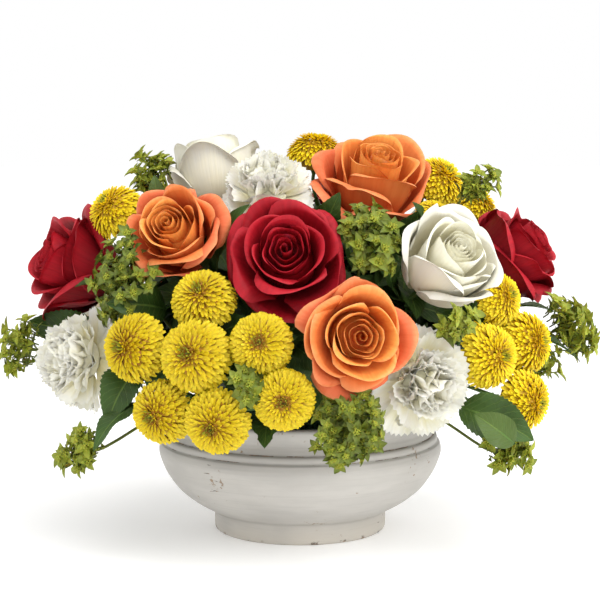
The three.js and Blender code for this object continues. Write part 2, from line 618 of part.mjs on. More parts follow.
// Where a leaf's stalk leaves the stems of its side: the nearest point of any of them outside the foam.
function nearestStem(point, sector) {
  const ABOVE_FOAM = 122;
  const STEP = 0.05; // share of a stretch of stem from one point tried to the next
  const nearest = new THREE.Vector3(0, 0, Infinity);
  const spot = new THREE.Vector3();
  for (const route of sector.routes) {
    for (let i = 0; i + 1 < route.length; i += 1) {
      for (let share = 0; share < 1; share += STEP) {
        spot.lerpVectors(route[i], route[i + 1], share);
        const outside = Math.hypot(spot.x, spot.y) > LIP_RADIUS || spot.z > ABOVE_FOAM;
        if (outside && spot.distanceTo(point) < nearest.distanceTo(point)) nearest.copy(spot);
      }
    }
  }
  return nearest;
}

// The leaf that grows straight from a stem, turned until it is clear of all that is set already, if it can be.
function stemLeaf({ from, towards }, index, taken) {
  const TURNS = 12; // directions tried
  const [LONG, WIDE] = [46, 23];
  const BELOW = 8; // how far behind the stem's top the leaf starts
  const RISE = 0.75; // how much it leans along the stem, against 1 straight out from it
  const inward = new THREE.Vector3().subVectors(towards, from).normalize();
  const root = from.clone().addScaledVector(inward, BELOW);
  const frame = standing(root, inward.negate());
  for (let turn = 0; turn < TURNS; turn += 1) {
    const angle = index * FAN + turn * Math.PI * 2 / TURNS;
    const tip = new THREE.Vector3(Math.cos(angle), Math.sin(angle), RISE).setLength(LONG).applyMatrix4(frame);
    const solid = toSolid(leaf({ kind: "small", start: root, root, tip, wide: WIDE }));
    if (clearOf(solid, taken)) return solid;
  }
  return null;
}

const taken = [...envelopes, ...BUPLEURUM.map(({ solid }) => solid)];
for (const { kind, root, tip, wide } of LEAVES) {
  const base = vector(root);
  const sector = sectorOf(base);
  sector.parts.push(leaf({ kind, start: nearestStem(base, sector), root: base, tip: vector(tip), wide }));
}
for (const sector of SECTORS) {
  let solid = join(sector.parts);
  for (const { hole } of BUPLEURUM) solid = solid.subtract(hole);
  sector.leaves.forEach((stem, index) => {
    const grown = stemLeaf(stem, index, taken);
    if (grown) solid = solid.add(grown);
  });
  taken.push(solid);
  addPiece(sector.name, solid, "green", 0.6);
}

// The foam, with a plain hole for every stem.
let foam = toSolid(turned(FOAM_SECTION, FOAM_SIDES));
for (const { hub, routes } of SECTORS) {
  foam = foam.subtract(toSolid(new THREE.IcosahedronGeometry(HUB_SIZE + GAP * 1.5).translate(...hub.toArray())));
  for (const route of routes) foam = foam.subtract(toSolid(stalk(route, STEM + GAP * 2)));
}
for (const { hole } of BUPLEURUM) foam = foam.subtract(hole);
addPiece("foam", foam, "foam", 0.9);
addPiece("bowl", toSolid(turned([...BOWL_OUTSIDE, ...BOWL_INSIDE], BOWL_SIDES)), "bowl", 0.5);

export default group;
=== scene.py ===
"""The looks of a floral table centerpiece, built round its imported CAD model.

Every shape is worked out in millimetres, in the frame of the part: the origin on the table under the middle
of the bowl, +Z up, and the front facing -Y. It becomes metres when its mesh is made.
"""

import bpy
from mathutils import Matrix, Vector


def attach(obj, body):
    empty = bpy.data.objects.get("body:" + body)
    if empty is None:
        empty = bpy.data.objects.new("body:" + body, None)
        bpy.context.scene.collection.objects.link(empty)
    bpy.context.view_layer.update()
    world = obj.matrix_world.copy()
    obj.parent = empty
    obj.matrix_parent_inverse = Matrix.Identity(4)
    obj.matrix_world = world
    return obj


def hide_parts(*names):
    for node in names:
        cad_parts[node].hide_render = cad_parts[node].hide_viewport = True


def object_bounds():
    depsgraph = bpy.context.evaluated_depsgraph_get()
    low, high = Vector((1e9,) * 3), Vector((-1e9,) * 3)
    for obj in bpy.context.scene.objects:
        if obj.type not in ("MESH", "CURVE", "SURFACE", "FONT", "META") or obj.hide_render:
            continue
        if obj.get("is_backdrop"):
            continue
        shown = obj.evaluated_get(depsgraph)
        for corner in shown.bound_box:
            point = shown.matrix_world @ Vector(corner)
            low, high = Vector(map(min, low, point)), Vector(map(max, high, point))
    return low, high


bl_info = {
    "name": "Floral Table Centerpiece",
    "version": (1, 0, 0),
    "blender": (4, 5, 0),
    "location": "3D View > Sidebar > Centerpiece",
    "description": "Builds roses, carnations, button chrysanthemums, bupleurum and leaves in a footed bowl",
    "category": "Object",
}

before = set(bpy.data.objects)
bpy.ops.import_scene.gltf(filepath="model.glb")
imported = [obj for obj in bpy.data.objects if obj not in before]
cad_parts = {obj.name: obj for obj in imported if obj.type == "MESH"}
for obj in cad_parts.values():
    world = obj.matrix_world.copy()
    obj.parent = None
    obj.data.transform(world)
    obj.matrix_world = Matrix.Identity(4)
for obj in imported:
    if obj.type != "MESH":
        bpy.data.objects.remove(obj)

import math
from types import SimpleNamespace

import bpy
import numpy as np
from mathutils import Vector

CAD_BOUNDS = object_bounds()
MM = 0.001  # metres to a millimetre
FAN = math.radians(137.5)  # the golden angle, by which plants set one part after the next

# ---- where everything is

# Each bloom: its middle, the way it faces (azimuth from the front towards the right, and elevation) and how
# wide it is. A rose starts with its colour, and ends with how far it has opened.
ROSES = {
    "rose_red_centre": ("red", (-9, -108, 213), (-3, 24), 87, 0.8),
    "rose_red_left": ("red", (-166, -10, 199), (-72, 24), 86, 0.6),
    "rose_red_right": ("red", (157, -8, 207), (74, 34), 82, 0.6),
    "rose_red_back": ("red", (12, 104, 208), (176, 30), 86, 0.8),
    "rose_orange_left": ("orange", (-87, -78, 227), (-18, 30), 73, 0.6),
    "rose_orange_front": ("orange", (38, -148, 165), (8, 6), 80, 0.9),
    "rose_orange_top": ("orange", (55, -20, 259), (20, 62), 90, 0.7),
    "rose_orange_back": ("orange", (-92, 84, 206), (-140, 32), 78, 0.7),
    "rose_white_right": ("white", (101, -92, 207), (30, 36), 75, 0.3),
    "rose_white_top": ("white", (-64, 16, 262), (-160, 70), 74, 0.4),
    "rose_white_back": ("white", (104, 84, 204), (135, 34), 74, 0.5),
}
CARNATIONS = {
    "carnation_top": ((-24, -47, 259), (-8, 54), 75),
    "carnation_left": ((-160, -70, 138), (-54, 10), 80),
    "carnation_front": ((84, -118, 128), (22, 0), 81),
    "carnation_back_left": ((-158, 58, 148), (-112, 18), 76),
    "carnation_back": ((22, 146, 134), (170, 8), 76),
}
# A chrysanthemum's last word names the spray that it grows on.
CHRYSANTHEMUMS = {
    "pom_front_1": ((-117, -118, 153), (-46, 8), 47, "left"),
    "pom_front_2": ((-73, -140, 151), (-24, 14), 49, "left"),
    "pom_front_3": ((-68, -116, 188), (-20, 40), 44, "left"),
    "pom_front_4": ((-27, -146, 160), (-8, 14), 42, "front"),
    "pom_front_5": ((-97, -132, 109), (-36, -6), 43, "left"),
    "pom_front_6": ((-58, -150, 105), (-20, -12), 44, "front"),
    "pom_front_7": ((-11, -156, 122), (-2, 0), 41, "front"),
    "pom_left_1": ((-137, -30, 243), (-60, 42), 41, "top_left"),
    "pom_left_2": ((-114, 12, 238), (-100, 52), 36, "top_left"),
    "pom_top": ((12, 16, 284), (120, 84), 42, "top"),
    "pom_top_right_1": ((106, 14, 262), (58, 48), 42, "top_right"),
    "pom_top_right_2": ((98, -38, 239), (50, 40), 26, "top_right"),
    "pom_top_right_3": ((135, 32, 243), (78, 46), 36, "top_right"),
    "pom_right_1": ((144, -66, 182), (56, 20), 38, "right"),
    "pom_right_2": ((166, -56, 148), (64, 10), 45, "right"),
    "pom_right_3": ((163, -74, 108), (60, -4), 44, "right"),
    "pom_right_4": ((136, -90, 143), (48, 6), 45, "right"),
    "pom_back_1": ((-44, 138, 166), (-164, 22), 42, "back_left"),
    "pom_back_2": ((-88, 124, 140), (-144, 10), 44, "back_left"),
    "pom_back_3": ((-44, 146, 120), (-162, -2), 42, "back_left"),
    "pom_back_4": ((90, 126, 150), (144, 14), 44, "back_right"),
    "pom_back_5": ((132, 96, 132), (124, 6), 42, "back_right"),
    "pom_back_6": ((154, 48, 160), (104, 20), 42, "back_right"),
}
SHADED_SPRAYS = ("left", "front", "back_left")  # sprays on the shaded side, given a darker copy of the petals' finish: painted shade
# Each bupleurum spray: the middle of its cluster, the cluster's width and height, how far it leans from
# upright (degrees) and how many stars it carries.
BUPLEURUM = {
    "bupleurum_top_left": ((-112, -10, 272), (18, 34), -20, 19),
    "bupleurum_left": ((-130, -92, 200), (50, 62), -10, 46),
    "bupleurum_far_left": ((-209, -34, 142), (16, 42), 12, 20),
    "bupleurum_low_left": ((-158, -100, 78), (18, 36), 40, 19),
    "bupleurum_front_left": ((-35, -160, 134), (12, 26), -20, 10),
    "bupleurum_front": ((34, -156, 103), (46, 50), 30, 46),
    "bupleurum_centre": ((51, -104, 232), (32, 58), 0, 34),
    "bupleurum_top_right": ((132, -40, 264), (22, 18), 60, 16),
    "bupleurum_right": ((205, -26, 156), (32, 52), -32, 34),
    "bupleurum_low_right": ((150, -106, 78), (18, 30), -35, 18),
    "bupleurum_right_front": ((110, -128, 172), (20, 18), 0, 10),
    "bupleurum_back_left": ((-124, 118, 178), (30, 36), 20, 21),
    "bupleurum_back": ((52, 132, 182), (26, 36), -10, 19),
    "bupleurum_back_right": ((190, 52, 124), (26, 40), 25, 21),
}
# The large leaves that show between the blooms: shape, base, tip and width. The last pair, where there is
# one, is the way that the blade faces; the others face outwards and up.
LEAVES = (
    ("broad", (-150, -10, 148), (-202, -18, 158), 30, (-20, 8)),
    ("broad", (-96, -72, 174), (-134, -106, 182), 30, (-20, 15)),
    ("broad", (70, -34, 210), (88, -54, 244), 26, (10, 25)),
    ("broad", (-112, -106, 112), (-142, -128, 82), 20),
    ("broad", (-122, -54, 182), (-160, -70, 190), 24),
    ("broad", (112, -98, 108), (162, -118, 88), 34, (15, 20)),
    ("broad", (-112, -84, 136), (-134, -112, 98), 32, (-25, 10)),
    ("plain", (147, -130, 88), (119, -131, 109), 23, (10, 15)),
    ("lobed", (-20, -112, 106), (-24, -146, 88), 24),
    ("lobed", (40, -110, 104), (46, -140, 88), 20),
    ("broad", (16, -58, 222), (28, -84, 258), 24),
    ("broad", (82, -48, 222), (80, -66, 250), 20),
    ("broad", (140, -28, 164), (186, -40, 168), 24),
    ("plain", (-102, -40, 242), (-105, -42, 268), 13, (0, 5)),
    ("broad", (168, -20, 146), (206, -34, 130), 16),
    ("broad", (-148, 12, 130), (-200, 14, 120), 26),
    ("broad", (-118, 92, 120), (-162, 112, 98), 28),
    ("broad", (-34, 100, 190), (-44, 138, 206), 26),
    ("lobed", (-10, 116, 108), (-14, 152, 92), 26),
    ("broad", (62, 112, 112), (74, 152, 96), 28),
    ("broad", (132, 66, 112), (172, 84, 92), 28),
    ("broad", (126, 36, 196), (172, 50, 196), 26),
    ("broad", (56, 70, 222), (72, 92, 252), 26),
    ("broad", (-40, 60, 230), (-52, 78, 262), 26),
)
SIDES_OF_BOWL = {  # the middle of each side's greenery, as an azimuth from the front
    "greens_front": 0,
    "greens_right": 72,
    "greens_back_right": 144,
    "greens_back_left": -144,
    "greens_left": -72,
}
HUB_RADIUS, HUB_HEIGHT = 34, 74  # where the stems of one side meet in the foam
LIP_RADIUS, LIP_CLEAR = 97, 101  # where a low stem passes over the bowl's lip, and how high
FOAM_TOP = 111
STEM, TWIG, THREAD, RAY = 1.9, 1.4, 1.1, 0.6  # radii of stems, from a rose's to a bupleurum's rays


# ---- points


def unit(vector):
    return np.asarray(vector, float) / np.linalg.norm(vector)


def facing(azimuth, elevation):
    """The direction at an azimuth from the front towards the right, and an elevation, both in degrees."""
    a, e = math.radians(azimuth), math.radians(elevation)
    return np.array([math.sin(a) * math.cos(e), -math.cos(a) * math.cos(e), math.sin(e)])


def standing(axis):
    """A basis whose third column is the axis, and whose second leans upwards."""
    side = unit(np.cross((0, 0, 1), axis))
    return np.column_stack([side, np.cross(axis, side), axis])


def turned(points, angle):
    """The points turned about +Z."""
    cos, sin = math.cos(angle), math.sin(angle)
    return points @ np.array([[cos, sin, 0], [-sin, cos, 0], [0, 0, 1]])


def grid(x, y, z):
    """Points from coordinates that broadcast together."""
    return np.stack(np.broadcast_arrays(x, y, z), axis=-1)


def polar(radius, angle, height):
    """Points from cylindrical coordinates that broadcast together."""
    return grid(radius * np.cos(angle), radius * np.sin(angle), height)


def circle(sides):
    """The angles of one turn, in equal steps."""
    return np.arange(sides) * 2 * math.pi / sides


def lathe(sides, *profile):
    """A grid turned about +Z from the radius and height of each of its rings."""
    radii, heights = np.array(profile, float).T
    return polar(radii[:, None], circle(sides), heights[:, None])


def sheet(rows, columns):
    """Where the points of a petal or leaf are: from -1 to 1 across it, and from 0 to 1 along it."""
    return np.linspace(-1, 1, columns)[None, :], np.linspace(0, 1, rows)[:, None]


def smooth(low, high, value):
    t = np.clip((value - low) / (high - low), 0, 1)
    return t * t * (3 - 2 * t)


def between(pair, share):
    """The value at a share of the way from the first of a pair to the last."""
    return np.interp(share, (0, 1), pair)


def bezier(a, b, c, d, t):
    """A cubic curve's points at the parameters t."""
    return (1 - t) ** 3 * a + 3 * (1 - t) ** 2 * t * b + 3 * (1 - t) * t * t * c + t ** 3 * d


def curved(route, steps=6):
    """A smooth line through the points of a route."""
    route = np.asarray(route, float)
    padded = np.vstack([2 * route[0] - route[1], route, 2 * route[-1] - route[-2]])
    points = []
    for before, start, end, after in zip(padded, padded[1:], padded[2:], padded[3:]):
        bend = 2 * before - 5 * start + 4 * end - after
        twist = 3 * start - before - 3 * end + after
        for t in np.linspace(0, 1, steps, endpoint=False):
            points.append(0.5 * (2 * start + (end - before) * t + bend * t * t + twist * t ** 3))
    return np.array(points + [route[-1]])


# ---- meshes


class Skin:
    """Collects curved patches, in millimetres, and makes one piece of them."""

    def __init__(self):
        self.points, self.faces, self.places, self.tones, self.finishes = [], [], [], [], []
        self.count = 0

    def patch(self, points, tone, finish=0, closed=False):
        """Adds a grid of points. Its rows run along the petal or leaf, and its columns across it."""
        rows, columns = points.shape[:2]
        index = np.arange(rows * columns).reshape(rows, columns) + self.count
        if closed:
            index = np.column_stack([index, index[:, 0]])
        quads = np.stack([index[:-1, :-1], index[:-1, 1:], index[1:, 1:], index[1:, :-1]], axis=-1)
        across, along = np.meshgrid(np.linspace(0, 1, columns), np.linspace(0, 1, rows))
        self.points.append(points.reshape(-1, 3))
        self.faces.append(quads.reshape(-1, 4))
        self.places.append(np.stack([across, along], axis=-1).reshape(-1, 2))
        self.tones.append(np.full(rows * columns, tone))
        self.finishes.append(np.full(quads.size // 4, finish))
        self.count += rows * columns

    def tube(self, route, radius, tone=0.2, finish=0, sides=7):
        """Adds a round stalk along a route. The radius is one number, or one for each point."""
        route = np.asarray(route, float)
        tangents = np.gradient(route, axis=0)
        tangents /= np.linalg.norm(tangents, axis=1)[:, None]
        normal = unit(np.cross(tangents[0], (0.31, 0.17, 0.93)))  # any way square to the first stretch
        angles = circle(sides)
        rings = []
        for point, tangent, r in zip(route, tangents, np.broadcast_to(radius, len(route))):
            normal = unit(normal - tangent * np.dot(normal, tangent))
            other = np.cross(tangent, normal)
            rings.append(point + r * (np.outer(np.cos(angles), normal) + np.outer(np.sin(angles), other)))
        self.patch(np.array(rings), tone, finish, closed=True)

    def piece(self, name, materials, slot, node):
        """Makes the object, which stands for the CAD node of the same form."""
        points, faces = np.vstack(self.points) * MM, np.vstack(self.faces)
        mesh = bpy.data.meshes.new(name)
        mesh.vertices.add(len(points))
        mesh.vertices.foreach_set("co", points.ravel())
        mesh.loops.add(faces.size)
        mesh.loops.foreach_set("vertex_index", faces.ravel())
        mesh.polygons.add(len(faces))
        mesh.polygons.foreach_set("loop_start", np.arange(0, faces.size, 4))
        mesh.polygons.foreach_set("material_index", np.concatenate(self.finishes))
        mesh.polygons.foreach_set("use_smooth", np.ones(len(faces), bool))
        mesh.update(calc_edges=True)
        mesh.validate()
        place = mesh.uv_layers.new(name="place")
        corners = np.empty(len(mesh.loops), np.int32)
        mesh.loops.foreach_get("vertex_index", corners)
        place.data.foreach_set("uv", np.vstack(self.places)[corners].ravel())
        tone = mesh.attributes.new("tone", "FLOAT", "POINT")
        tone.data.foreach_set("value", np.concatenate(self.tones))
        for material in materials:
            mesh.materials.append(material)
        piece = bpy.data.objects.new(name, mesh)
        bpy.context.scene.collection.objects.link(piece)
        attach(piece, "root")
        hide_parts(node)


class Bloom:
    """A flower head's own place: +Z out of its face, with the origin at its foot."""

    def __init__(self, middle, face, depth):
        self.axis = facing(*face)
        self.foot = np.array(middle, float) - self.axis * depth / 2
        self.basis = standing(self.axis)

    def placed(self, points):
        return points @ self.basis.T + self.foot

    def behind(self, distance):
        """The point on the flower's axis at a distance below its foot."""
        return self.foot - self.axis * distance


def flower(name, bloom, petals, heart, heart_tone, finish, slot):
    """Makes a flower head of its petals, each with its tone, and of the heart that fills it."""
    skin = Skin()
    for points, tone in petals:
        skin.patch(bloom.placed(points), tone)
    skin.patch(bloom.placed(heart), heart_tone, closed=True)
    skin.piece("petals_" + name, [finish], slot, name)


# ---- finishes


def shade(colour, share):
    """A darker or lighter tone of a colour."""
    return tuple(min(1.0, c * share) for c in colour[:3])


class Finish:
    """A material on the Principled shader, with short ways to add to its nodes.

    Soft is how much of the light goes through the surface, and depth how far it goes, in metres.
    """

    def __init__(self, name, specular, soft=0.0, depth=0.003, **others):
        constants = {"Specular IOR Level": specular, "Subsurface Weight": soft, "Subsurface Scale": depth}
        constants.update((socket.replace("_", " "), value) for socket, value in others.items())
        self.material = bpy.data.materials.new(name)
        self.material.use_nodes = True
        self.tree = self.material.node_tree
        self.shader = self.tree.nodes["Principled BSDF"]
        for socket, value in constants.items():
            self.shader.inputs[socket].default_value = value

    def node(self, kind, inputs=None, **settings):
        node = self.tree.nodes.new("ShaderNode" + kind)
        for key, value in settings.items():
            setattr(node, key, value)
        for socket, value in (inputs or {}).items():
            self.put(node.inputs[socket], value)
        return node

    def put(self, socket, value):
        if isinstance(value, bpy.types.NodeSocket):
            self.tree.links.new(value, socket)
        else:
            socket.default_value = value

    def math(self, operation, *values):
        return self.node("Math", dict(enumerate(values)), operation=operation).outputs[0]

    def times(self, first, second):
        return self.math("MULTIPLY", first, second)

    def greatest(self, first, *others):
        for other in others:
            first = self.math("MAXIMUM", first, other)
        return first

    def away(self, value, middle):
        """How far a value is from a middle one."""
        return self.math("ABSOLUTE", self.math("SUBTRACT", value, middle))

    def range(self, value, low, high, to_low=0.0, to_high=1.0):
        """The value stretched from one range to another, and kept inside it."""
        return self.node("MapRange", {0: value, 1: low, 2: high, 3: to_low, 4: to_high}).outputs[0]

    def place(self):
        """How far across and how far along its petal or leaf a point is, each from 0 to 1."""
        across_along = self.node("SeparateXYZ", {"Vector": self.node("UVMap", uv_map="place").outputs["UV"]})
        return across_along.outputs["X"], across_along.outputs["Y"]

    def tone(self):
        return self.node("Attribute", attribute_name="tone").outputs["Fac"]

    def spot(self, stretch=(1, 1, 1)):
        """The point on the object, in metres, with its axes stretched."""
        where = self.node("TexCoord").outputs["Object"]
        return self.node("Mapping", {"Vector": where, "Scale": stretch}).outputs["Vector"]

    def noise(self, scale, detail=3.0, vector=None, roughness=0.5):
        inputs = {"Vector": vector or self.spot(), "Scale": scale, "Detail": detail, "Roughness": roughness}
        return self.node("TexNoise", inputs).outputs["Fac"]

    def streaks(self, stretch, detail=3.0, roughness=0.7):
        """Noise that is drawn out, by how often it repeats in a metre along each axis."""
        return self.noise(1.0, detail, self.spot(stretch), roughness)

    def veins(self, lines):
        """Fine lines that run along a petal, as a height from 0 to 1."""
        across, along = self.place()
        petal = self.times(self.tone(), 40.0)
        inputs = {"X": self.times(across, lines), "Y": self.times(along, 1.5), "Z": petal}
        return self.noise(1.0, 2.0, self.node("CombineXYZ", inputs).outputs[0])

    def wander(self, noise, amount):
        """How far along its petal a point is, with a line between two colours made uneven by the noise."""
        return self.math("MULTIPLY_ADD", self.math("SUBTRACT", noise, 0.5), amount, self.place()[1])

    def ramp(self, value, *stops):
        """A colour for each value, from stops of (value, colour)."""
        node = self.node("ValToRGB", {"Fac": value})
        elements = node.color_ramp.elements
        while len(elements) < len(stops):
            elements.new(0.5)
        for element, (position, colour) in zip(elements, stops):
            element.position = position
            element.color = (*colour[:3], 1)
        return node.outputs["Color"]

    def mottled(self, patches, body, dark, light):
        """Sets a base colour that goes from a darker to a lighter tone in patches."""
        self.colour(self.ramp(patches, (0.3, shade(body, dark)), (0.7, shade(body, light))))

    def colour(self, value):
        """Sets the base colour."""
        self.base = value
        self.put(self.shader.inputs["Base Color"], value)

    def over(self, share, colour, blend="MIX"):
        """Lays a share of another colour over the base colour."""
        node = self.node("Mix", data_type="RGBA", blend_type=blend)
        for socket, value in ((0, share), (6, self.base), (7, colour)):
            self.put(node.inputs[socket], (*value[:3], 1) if isinstance(value, tuple) else value)
        self.colour(node.outputs[2])

    def roughness(self, value, low, high):
        self.put(self.shader.inputs["Roughness"], self.range(value, 0.3, 0.7, low, high))

    def bump(self, height, distance, strength):
        node = self.node("Bump", {"Height": height, "Distance": distance, "Strength": strength})
        self.put(self.shader.inputs["Normal"], node.outputs["Normal"])


def rose_finish(name, deep, young, old, rim, sheen, glow=(1.0, 0.45, 0.25)):
    """A rose's petals: deep in the cup, painted lighter towards the rim as a highlight, with a tint of the
    rim colour laid along it, and of another tone in the skirt.
    """
    finish = Finish(name, 0.25, 0.2, Subsurface_Radius=glow, Sheen_Weight=sheen, Sheen_Roughness=0.4,
                    Sheen_Tint=(*shade(old, 2.0), 1))
    veins = finish.veins(30.0)
    blotches = finish.noise(60.0)
    wander = finish.wander(blotches, 0.4)
    # Both ramps end lighter at the petal's rim: a painted highlight.
    skirt = finish.ramp(wander, (0.05, deep), (0.55, old), (0.95, shade(old, 1.15)))
    finish.colour(finish.ramp(wander, (0.05, deep), (0.5, young), (0.95, shade(young, 1.15))))
    finish.over(finish.range(finish.tone(), 0.45, 0.85), skirt)
    # The rim colour laid along each rim: a painted highlight on the red and orange petals, and painted grey
    # shade on the ivory ones.
    finish.over(finish.range(wander, 0.82, 1.0, 0.0, 0.45), rim)
    finish.over(finish.range(veins, 0.38, 0.75, 0.0, 0.3), shade(deep, 0.9))
    finish.roughness(blotches, 0.5, 0.68)
    finish.bump(veins, 0.0006, 0.55)
    return finish.material


def carnation_finish(body, deep):
    """White, papery and finely veined, and creamier down between the petals."""
    through = (1.0, 0.97, 0.88)
    finish = Finish("carnation_petals", 0.3, 0.8, 0.008, Subsurface_Radius=through, Sheen_Weight=0.1)
    veins = finish.veins(26.0)
    wander = finish.wander(finish.noise(90.0), 0.4)
    finish.colour(finish.ramp(wander, (0.25, deep), (0.85, body), (1.0, shade(body, 1.05))))
    inside = finish.range(finish.tone(), 0.3, 0.9)
    finish.over(finish.times(inside, finish.range(wander, 0.6, 1.0, 0.9, 0.2)), (0.96, 0.92, 0.7))
    finish.over(finish.range(veins, 0.4, 0.7, 0.0, 0.12), shade(deep, 0.9), "MULTIPLY")
    finish.roughness(veins, 0.55, 0.75)
    finish.bump(veins, 0.0005, 0.6)
    return finish.material


def chrysanthemum_finish(name, body, deep):
    """Yellow straps, deeper towards their roots, partly as painted shade between the straps, with a greenish
    eye, and a heart ball painted dark as shade.
    """
    finish = Finish(name, 0.35, 0.1)
    veins = finish.veins(7.0)
    tone = finish.tone()
    wander = finish.wander(finish.noise(120.0), 0.3)
    # Deeper towards the straps' roots: partly their own deeper yellow, partly painted shade between the
    # straps.
    finish.colour(finish.ramp(wander, (0.3, deep), (0.66, shade(body, 0.92)), (1.0, shade(body, 1.06))))
    finish.over(finish.range(tone, 0.5, 0.9), (0.4, 0.44, 0.04))
    finish.over(finish.range(tone, 1.0, 1.3, 0.0, 0.9), (0.13, 0.17, 0.03))
    # Painted shade: the heart ball between the straps' roots, of tone -1, is painted dark.
    finish.over(finish.range(tone, -1.0, -0.5, 1.0, 0.0), shade(deep, 0.7))
    finish.over(finish.range(veins, 0.4, 0.7, 0.0, 0.2), deep, "MULTIPLY")
    finish.roughness(veins, 0.42, 0.6)
    finish.bump(veins, 0.0003, 0.5)
    return finish.material


def bract_finish(body, deep):
    """The soft yellow-green of bupleurum: yellow at each star's heart and in its florets, greener at the
    bracts' tips, painted darker as shade where the tone is below 0, and lighter and yellower as light where
    it is above.
    """
    finish = Finish("bupleurum_bracts", 0.35, 0.15)
    rib = finish.away(finish.place()[0], 0.5)
    patches = finish.noise(150.0)
    tone = finish.tone()
    heart = (0.4, 0.42, 0.045)
    finish.colour(finish.ramp(finish.wander(patches, 0.6), (0.05, heart), (0.4, body), (1.0, deep)))
    # Painted shade: a negative tone darkens the patch.
    finish.over(finish.range(tone, -1.0, 0.0, 0.8, 0.0), shade(deep, 0.9))
    finish.over(finish.range(rib, 0.0, 0.08, 0.3, 0.0), shade(body, 1.5))
    # A positive tone: the florets' own yellow, and painted light on bracts and small leaves.
    finish.over(finish.range(tone, 0.0, 1.0, 0.0, 0.8), (0.5, 0.53, 0.06))
    finish.roughness(patches, 0.45, 0.62)
    finish.bump(finish.times(rib, patches), 0.0004, 0.5)
    return finish.material


def leaf_finish(body, vein):
    """Dark green leaves with a pale midrib and a net of side veins."""
    finish = Finish("leaves", 0.3, 0.05)
    across, along = finish.place()
    off_rib = finish.away(across, 0.5)
    slant = finish.math("SUBTRACT", along, finish.times(off_rib, 0.55))
    comb = finish.math("PINGPONG", finish.times(slant, 9.0), 0.5)
    side_veins = finish.range(comb, 0.0, 0.09, 0.45, 0.0)
    veins = finish.greatest(side_veins, finish.range(off_rib, 0.012, 0.035, 1.0, 0.0))
    patches = finish.noise(45.0, 4.0)
    finish.mottled(patches, body, 0.6, 1.35)
    finish.over(finish.range(finish.tone(), 0.0, 1.0, 0.0, 0.7), shade(vein, 0.55))
    finish.over(finish.times(veins, 0.55), vein)
    finish.roughness(patches, 0.36, 0.55)
    net = finish.noise(700.0, 2.0)
    finish.bump(finish.math("SUBTRACT", finish.times(net, 0.4), veins), 0.0006, 0.6)
    return finish.material


def stem_finish(body):
    """Smooth green stems, darker and lighter in patches."""
    finish = Finish("stems", 0.4)
    patches = finish.noise(70.0, 4.0, finish.spot((1, 1, 0.3)))
    finish.mottled(patches, body, 0.55, 1.4)
    finish.roughness(patches, 0.4, 0.6)
    finish.bump(finish.noise(900.0, 2.0, finish.spot((1, 1, 0.15))), 0.0003, 0.4)
    return finish.material


def foam_finish(body):
    """Wet, open-celled floral foam."""
    finish = Finish("wet_foam", 0.6)
    cells = finish.node("TexVoronoi", {"Vector": finish.spot(), "Scale": 1300.0}).outputs["Distance"]
    patches = finish.noise(40.0, 4.0)
    finish.mottled(patches, body, 0.6, 1.2)
    finish.over(finish.range(cells, 0.2, 0.6, 0.5, 0.0), shade(body, 0.4))
    finish.roughness(patches, 0.35, 0.7)
    finish.bump(cells, 0.0008, 0.8)
    return finish.material


def whitewash_finish(wash, under, dark):
    """Matte whitewash over brown, brushed round the bowl, worn and grimy in its grooves and on its foot, with
    bands of painted shade along its grooves and where the foot meets the belly.
    """
    finish = Finish("whitewash", 0.3)
    metres = finish.node("SeparateXYZ", {"Vector": finish.spot()}).outputs["Z"]
    height = finish.times(metres, 1 / MM)

    def bands(core, *rings):
        """Bands round the bowl: the height of each, half its width, and its strength inside its core."""
        return finish.greatest(*(
            finish.range(finish.away(height, middle), half * core, half, strength, 0.0)
            for middle, half, strength in rings))

    brushed = finish.streaks((16, 16, 620), 4.0, 0.6)
    clouds = finish.noise(13.0, 4.0)
    finish.colour(finish.ramp(clouds, (0.35, shade(wash, 0.88)), (0.65, wash)))
    finish.over(finish.range(finish.streaks((24, 24, 90), 3.0, 0.55), 0.42, 0.6, 0.0, 0.3), shade(wash, 1.18))
    finish.over(finish.range(brushed, 0.52, 0.74, 0.0, 0.3), shade(wash, 0.7))
    low = finish.range(height, 5.0, 20.0, 0.75, 0.0)
    finish.over(finish.times(low, finish.range(clouds, 0.35, 0.65, 0.35, 1.0)), (0.6, 0.55, 0.47))
    # Painted shade: soft grey bands of a darker wash along the two shoulder grooves and at the joint of the
    # foot and the belly.
    finish.over(bands(0, (67.4, 1.6, 0.3), (72.9, 1.6, 0.4), (15.5, 2.5, 0.3)), shade(wash, 0.55))

    worn = bands(0.3, (67.5, 0.6, 0.8), (72.9, 0.7, 0.92), (91.5, 1.6, 0.55), (80.0, 1.0, 0.4))
    through = finish.range(finish.times(worn, finish.streaks((75, 75, 120))), 0.41, 0.46)
    chipping = finish.times(finish.noise(34.0, 2.0), finish.noise(150.0, 4.0, roughness=0.65))
    chips = finish.range(finish.times(chipping, finish.range(height, 2.0, 8.0, 1.0, 0.35)), 0.285, 0.31)
    crumbs = finish.noise(260.0, 5.0, roughness=0.7)
    specks = finish.range(finish.times(crumbs, finish.noise(40.0, 2.0)), 0.4, 0.42)
    ticks = finish.range(finish.times(finish.streaks((90, 90, 500)), finish.noise(22.0, 2.0)), 0.462, 0.48)
    bare = finish.greatest(through, chips, specks, ticks)
    finish.over(finish.times(bare, 0.85), finish.ramp(crumbs, (0.42, dark), (0.6, under)))
    finish.roughness(clouds, 0.5, 0.7)
    finish.bump(finish.math("SUBTRACT", finish.times(brushed, 0.5), bare), 0.0005, 0.5)
    return finish.material


# ---- roses

